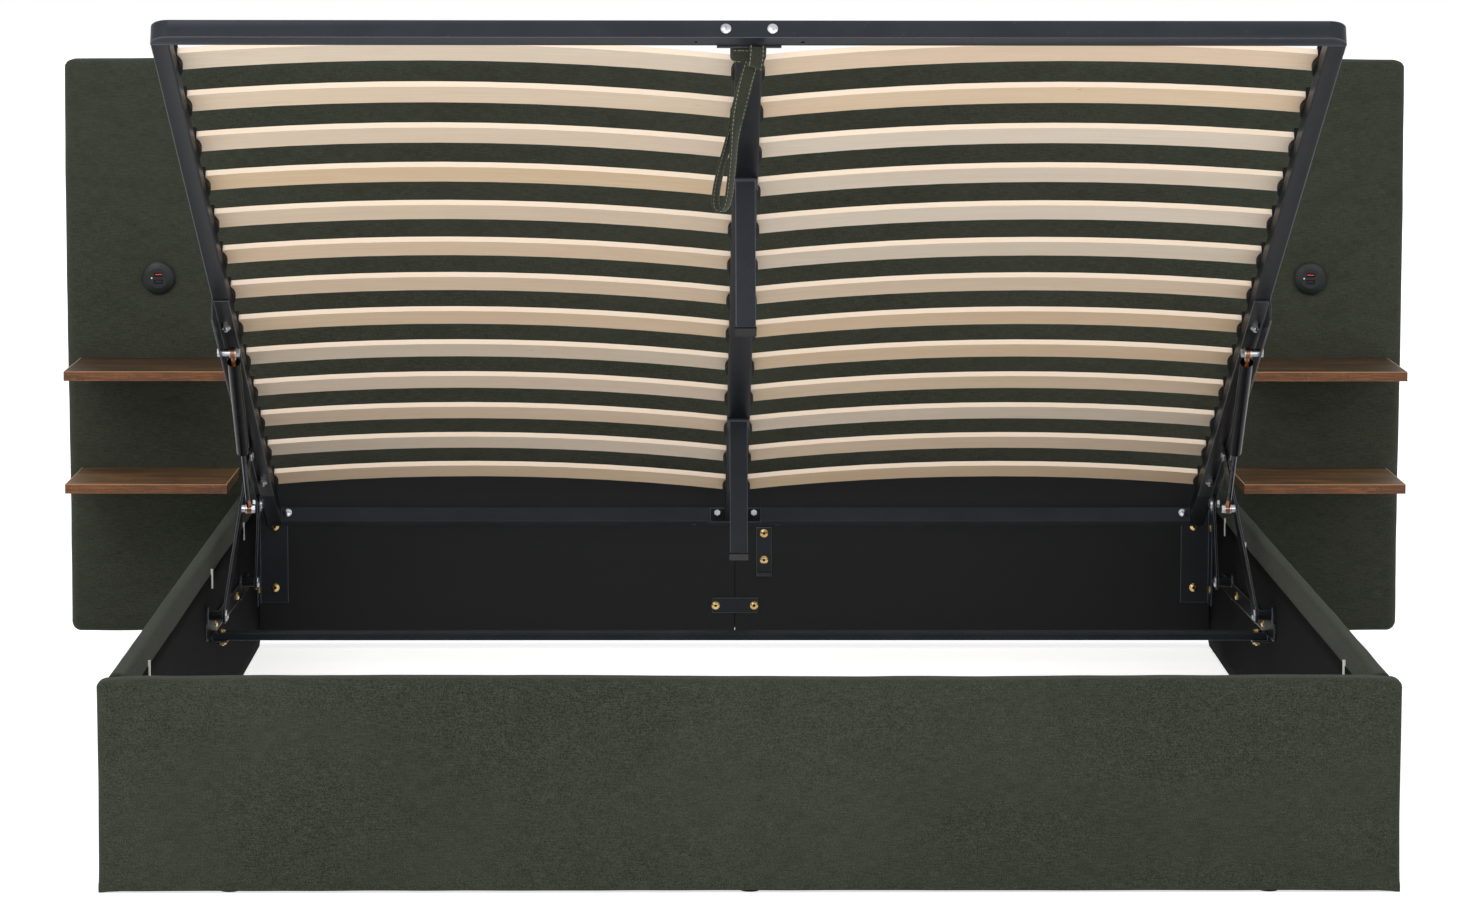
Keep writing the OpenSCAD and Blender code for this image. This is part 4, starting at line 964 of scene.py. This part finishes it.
def solids(node):
    """The separate solids of a node, each as its box's low and high corner."""
    ob = NODES[node]
    root = list(range(len(ob.data.vertices)))

    def find(i):
        while root[i] != i:
            i = root[i]
        return i

    seen = {}
    for v in ob.data.vertices:
        root[find(v.index)] = find(seen.setdefault(tuple(round(c, 5) for c in v.co), v.index))
    for e in ob.data.edges:
        root[find(e.vertices[0])] = find(e.vertices[1])
    groups = {}
    for v in ob.data.vertices:
        groups.setdefault(find(v.index), []).append(ob.matrix_world @ v.co)
    boxes = []
    for points in groups.values():
        axes = list(zip(*points))
        boxes.append([Vector([pick(axis) for axis in axes]) for pick in (min, max)])
    return boxes


# Painted shade for the six-sided key sockets in the round heads of the panel bolts: a black hexagon on each
# head, standing in for the shade in the socket's hollow
HEAD_D, HEAD_SLACK = 0.014, 0.0006
KEY_R, KEY_SIDES = 0.0026, 6
# How far a key socket's dark form reaches into the head, and how little it stands out
KEY_DEEP, KEY_PROUD = 0.001, 0.00015


def is_head(size, k):
    """Whether a solid of this size is a bolt with a round head and its axis along k."""
    return abs(size[1 - k] - HEAD_D) < HEAD_SLACK and abs(size.z - HEAD_D) < HEAD_SLACK


def key_socket_shade(build, lo, hi, k):
    """A black hexagon of painted shade for the key socket of the bolt along k whose box runs from lo to hi.
    """
    mid = (lo + hi) / 2
    tip = lo[k] if k == 1 or mid.x > 0 else hi[k]
    out = math.copysign(1, tip - mid[k])
    verts = []
    for height in (-KEY_DEEP, KEY_PROUD):
        for j in range(KEY_SIDES):
            p = Vector((0, 0, mid.z + KEY_R * math.sin(math.tau * j / KEY_SIDES)))
            p[1 - k] = mid[1 - k] + KEY_R * math.cos(math.tau * j / KEY_SIDES)
            p[k] = tip + out * height
            verts.append(p)
    faces = ring_faces(KEY_SIDES, 2)
    outward = out > 0 if k == 0 else out < 0
    build.add(verts, faces if outward else [face[::-1] for face in faces])


# Painted shade: a black hexagon on each bolt head with a key socket
socket_shades = Build()
for lo, hi in solids("panel_bolts"):
    axes = [k for k in (0, 1) if is_head(hi - lo, k)]
    if axes:
        key_socket_shade(socket_shades, lo, hi, axes[0])
piece("bolt_key_sockets", socket_shades.verts, socket_shades.faces, MATERIALS["black"], "base", smooth=False)

# Lining clips near the mechanisms, a third one on each side, at their unequal places along Y
CLIP_LO, CLIP_HI = (Vector(v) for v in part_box("lining_clips"))
CLIP_T, CLIP_W, CLIP_H = 0.0022, 0.006, CLIP_HI.z - CLIP_LO.z
HEAD_CLIP_Y = {"left": 0.715, "right": 0.77}
for side, y in HEAD_CLIP_Y.items():
    centre = (SIDES[side] * (CLIP_HI.x - CLIP_T / 2), y, (CLIP_LO.z + CLIP_HI.z) / 2)
    half = (CLIP_T / 2, CLIP_W / 2, CLIP_H / 2)
    block("head_lining_clip_%s" % side, centre, half, MATERIALS["white"])

# Floor: white, and with a glow of its own where the eye looks, so that only faint shadows show on it
FLOOR_HALF = 30
mesh = bpy.data.meshes.new("floor")
corners = [(x * FLOOR_HALF, y * FLOOR_HALF, 0) for x, y in ((-1, -1), (1, -1), (1, 1), (-1, 1))]
mesh.from_pydata(corners, [], [(0, 1, 2, 3)])
floor = bpy.data.objects.new("floor", mesh)
scene.collection.objects.link(floor)
paint = Mat("floor_white")
mesh.materials.append(paint.done((0.86, 0.86, 0.86, 1), 0.9))
glow = paint.node("ShaderNodeEmission", {"Color": WHITE, "Strength": paint.seen() * 0.7})
paint.put(paint.out.inputs[0], paint.node("ShaderNodeAddShader", {0: paint.bsdf.outputs[0], 1: glow}))

# Room: soft white light from all round, plain white where the eye looks
world = bpy.data.worlds.new("studio")
scene.world = world
world.use_nodes = True
room = Nodes(world.node_tree)
strength = room.node("ShaderNodeMix", {"Factor": room.seen(), "A": 0.78, "B": 1.0}, "Result")
background = room.node("ShaderNodeBackground", {"Color": WHITE, "Strength": strength})
room.raw("ShaderNodeOutputWorld", {0: background})


def area(name, place, target, size, power):
    """A rectangular light at place that looks at target."""
    light = bpy.data.lights.new(name, "AREA")
    light.shape = "RECTANGLE"
    light.size, light.size_y = size
    light.energy = power
    ob = bpy.data.objects.new(name, light)
    ob.location = place
    ob.rotation_euler = (Vector(target) - Vector(place)).to_track_quat("-Z", "Y").to_euler()
    scene.collection.objects.link(ob)


area("key", (-2.6, -4.6, 3.6), (0, 0, 0.4), (2.4, 2.4), 90)
area("fill", (3.4, -4.4, 2.2), (0, 0, 0.4), (2.6, 2.0), 26)
area("low", (0, -5.6, 0.9), (0, 0.2, 0.8), (3.6, 1.2), 60)

scene.view_settings.view_transform = "Standard"
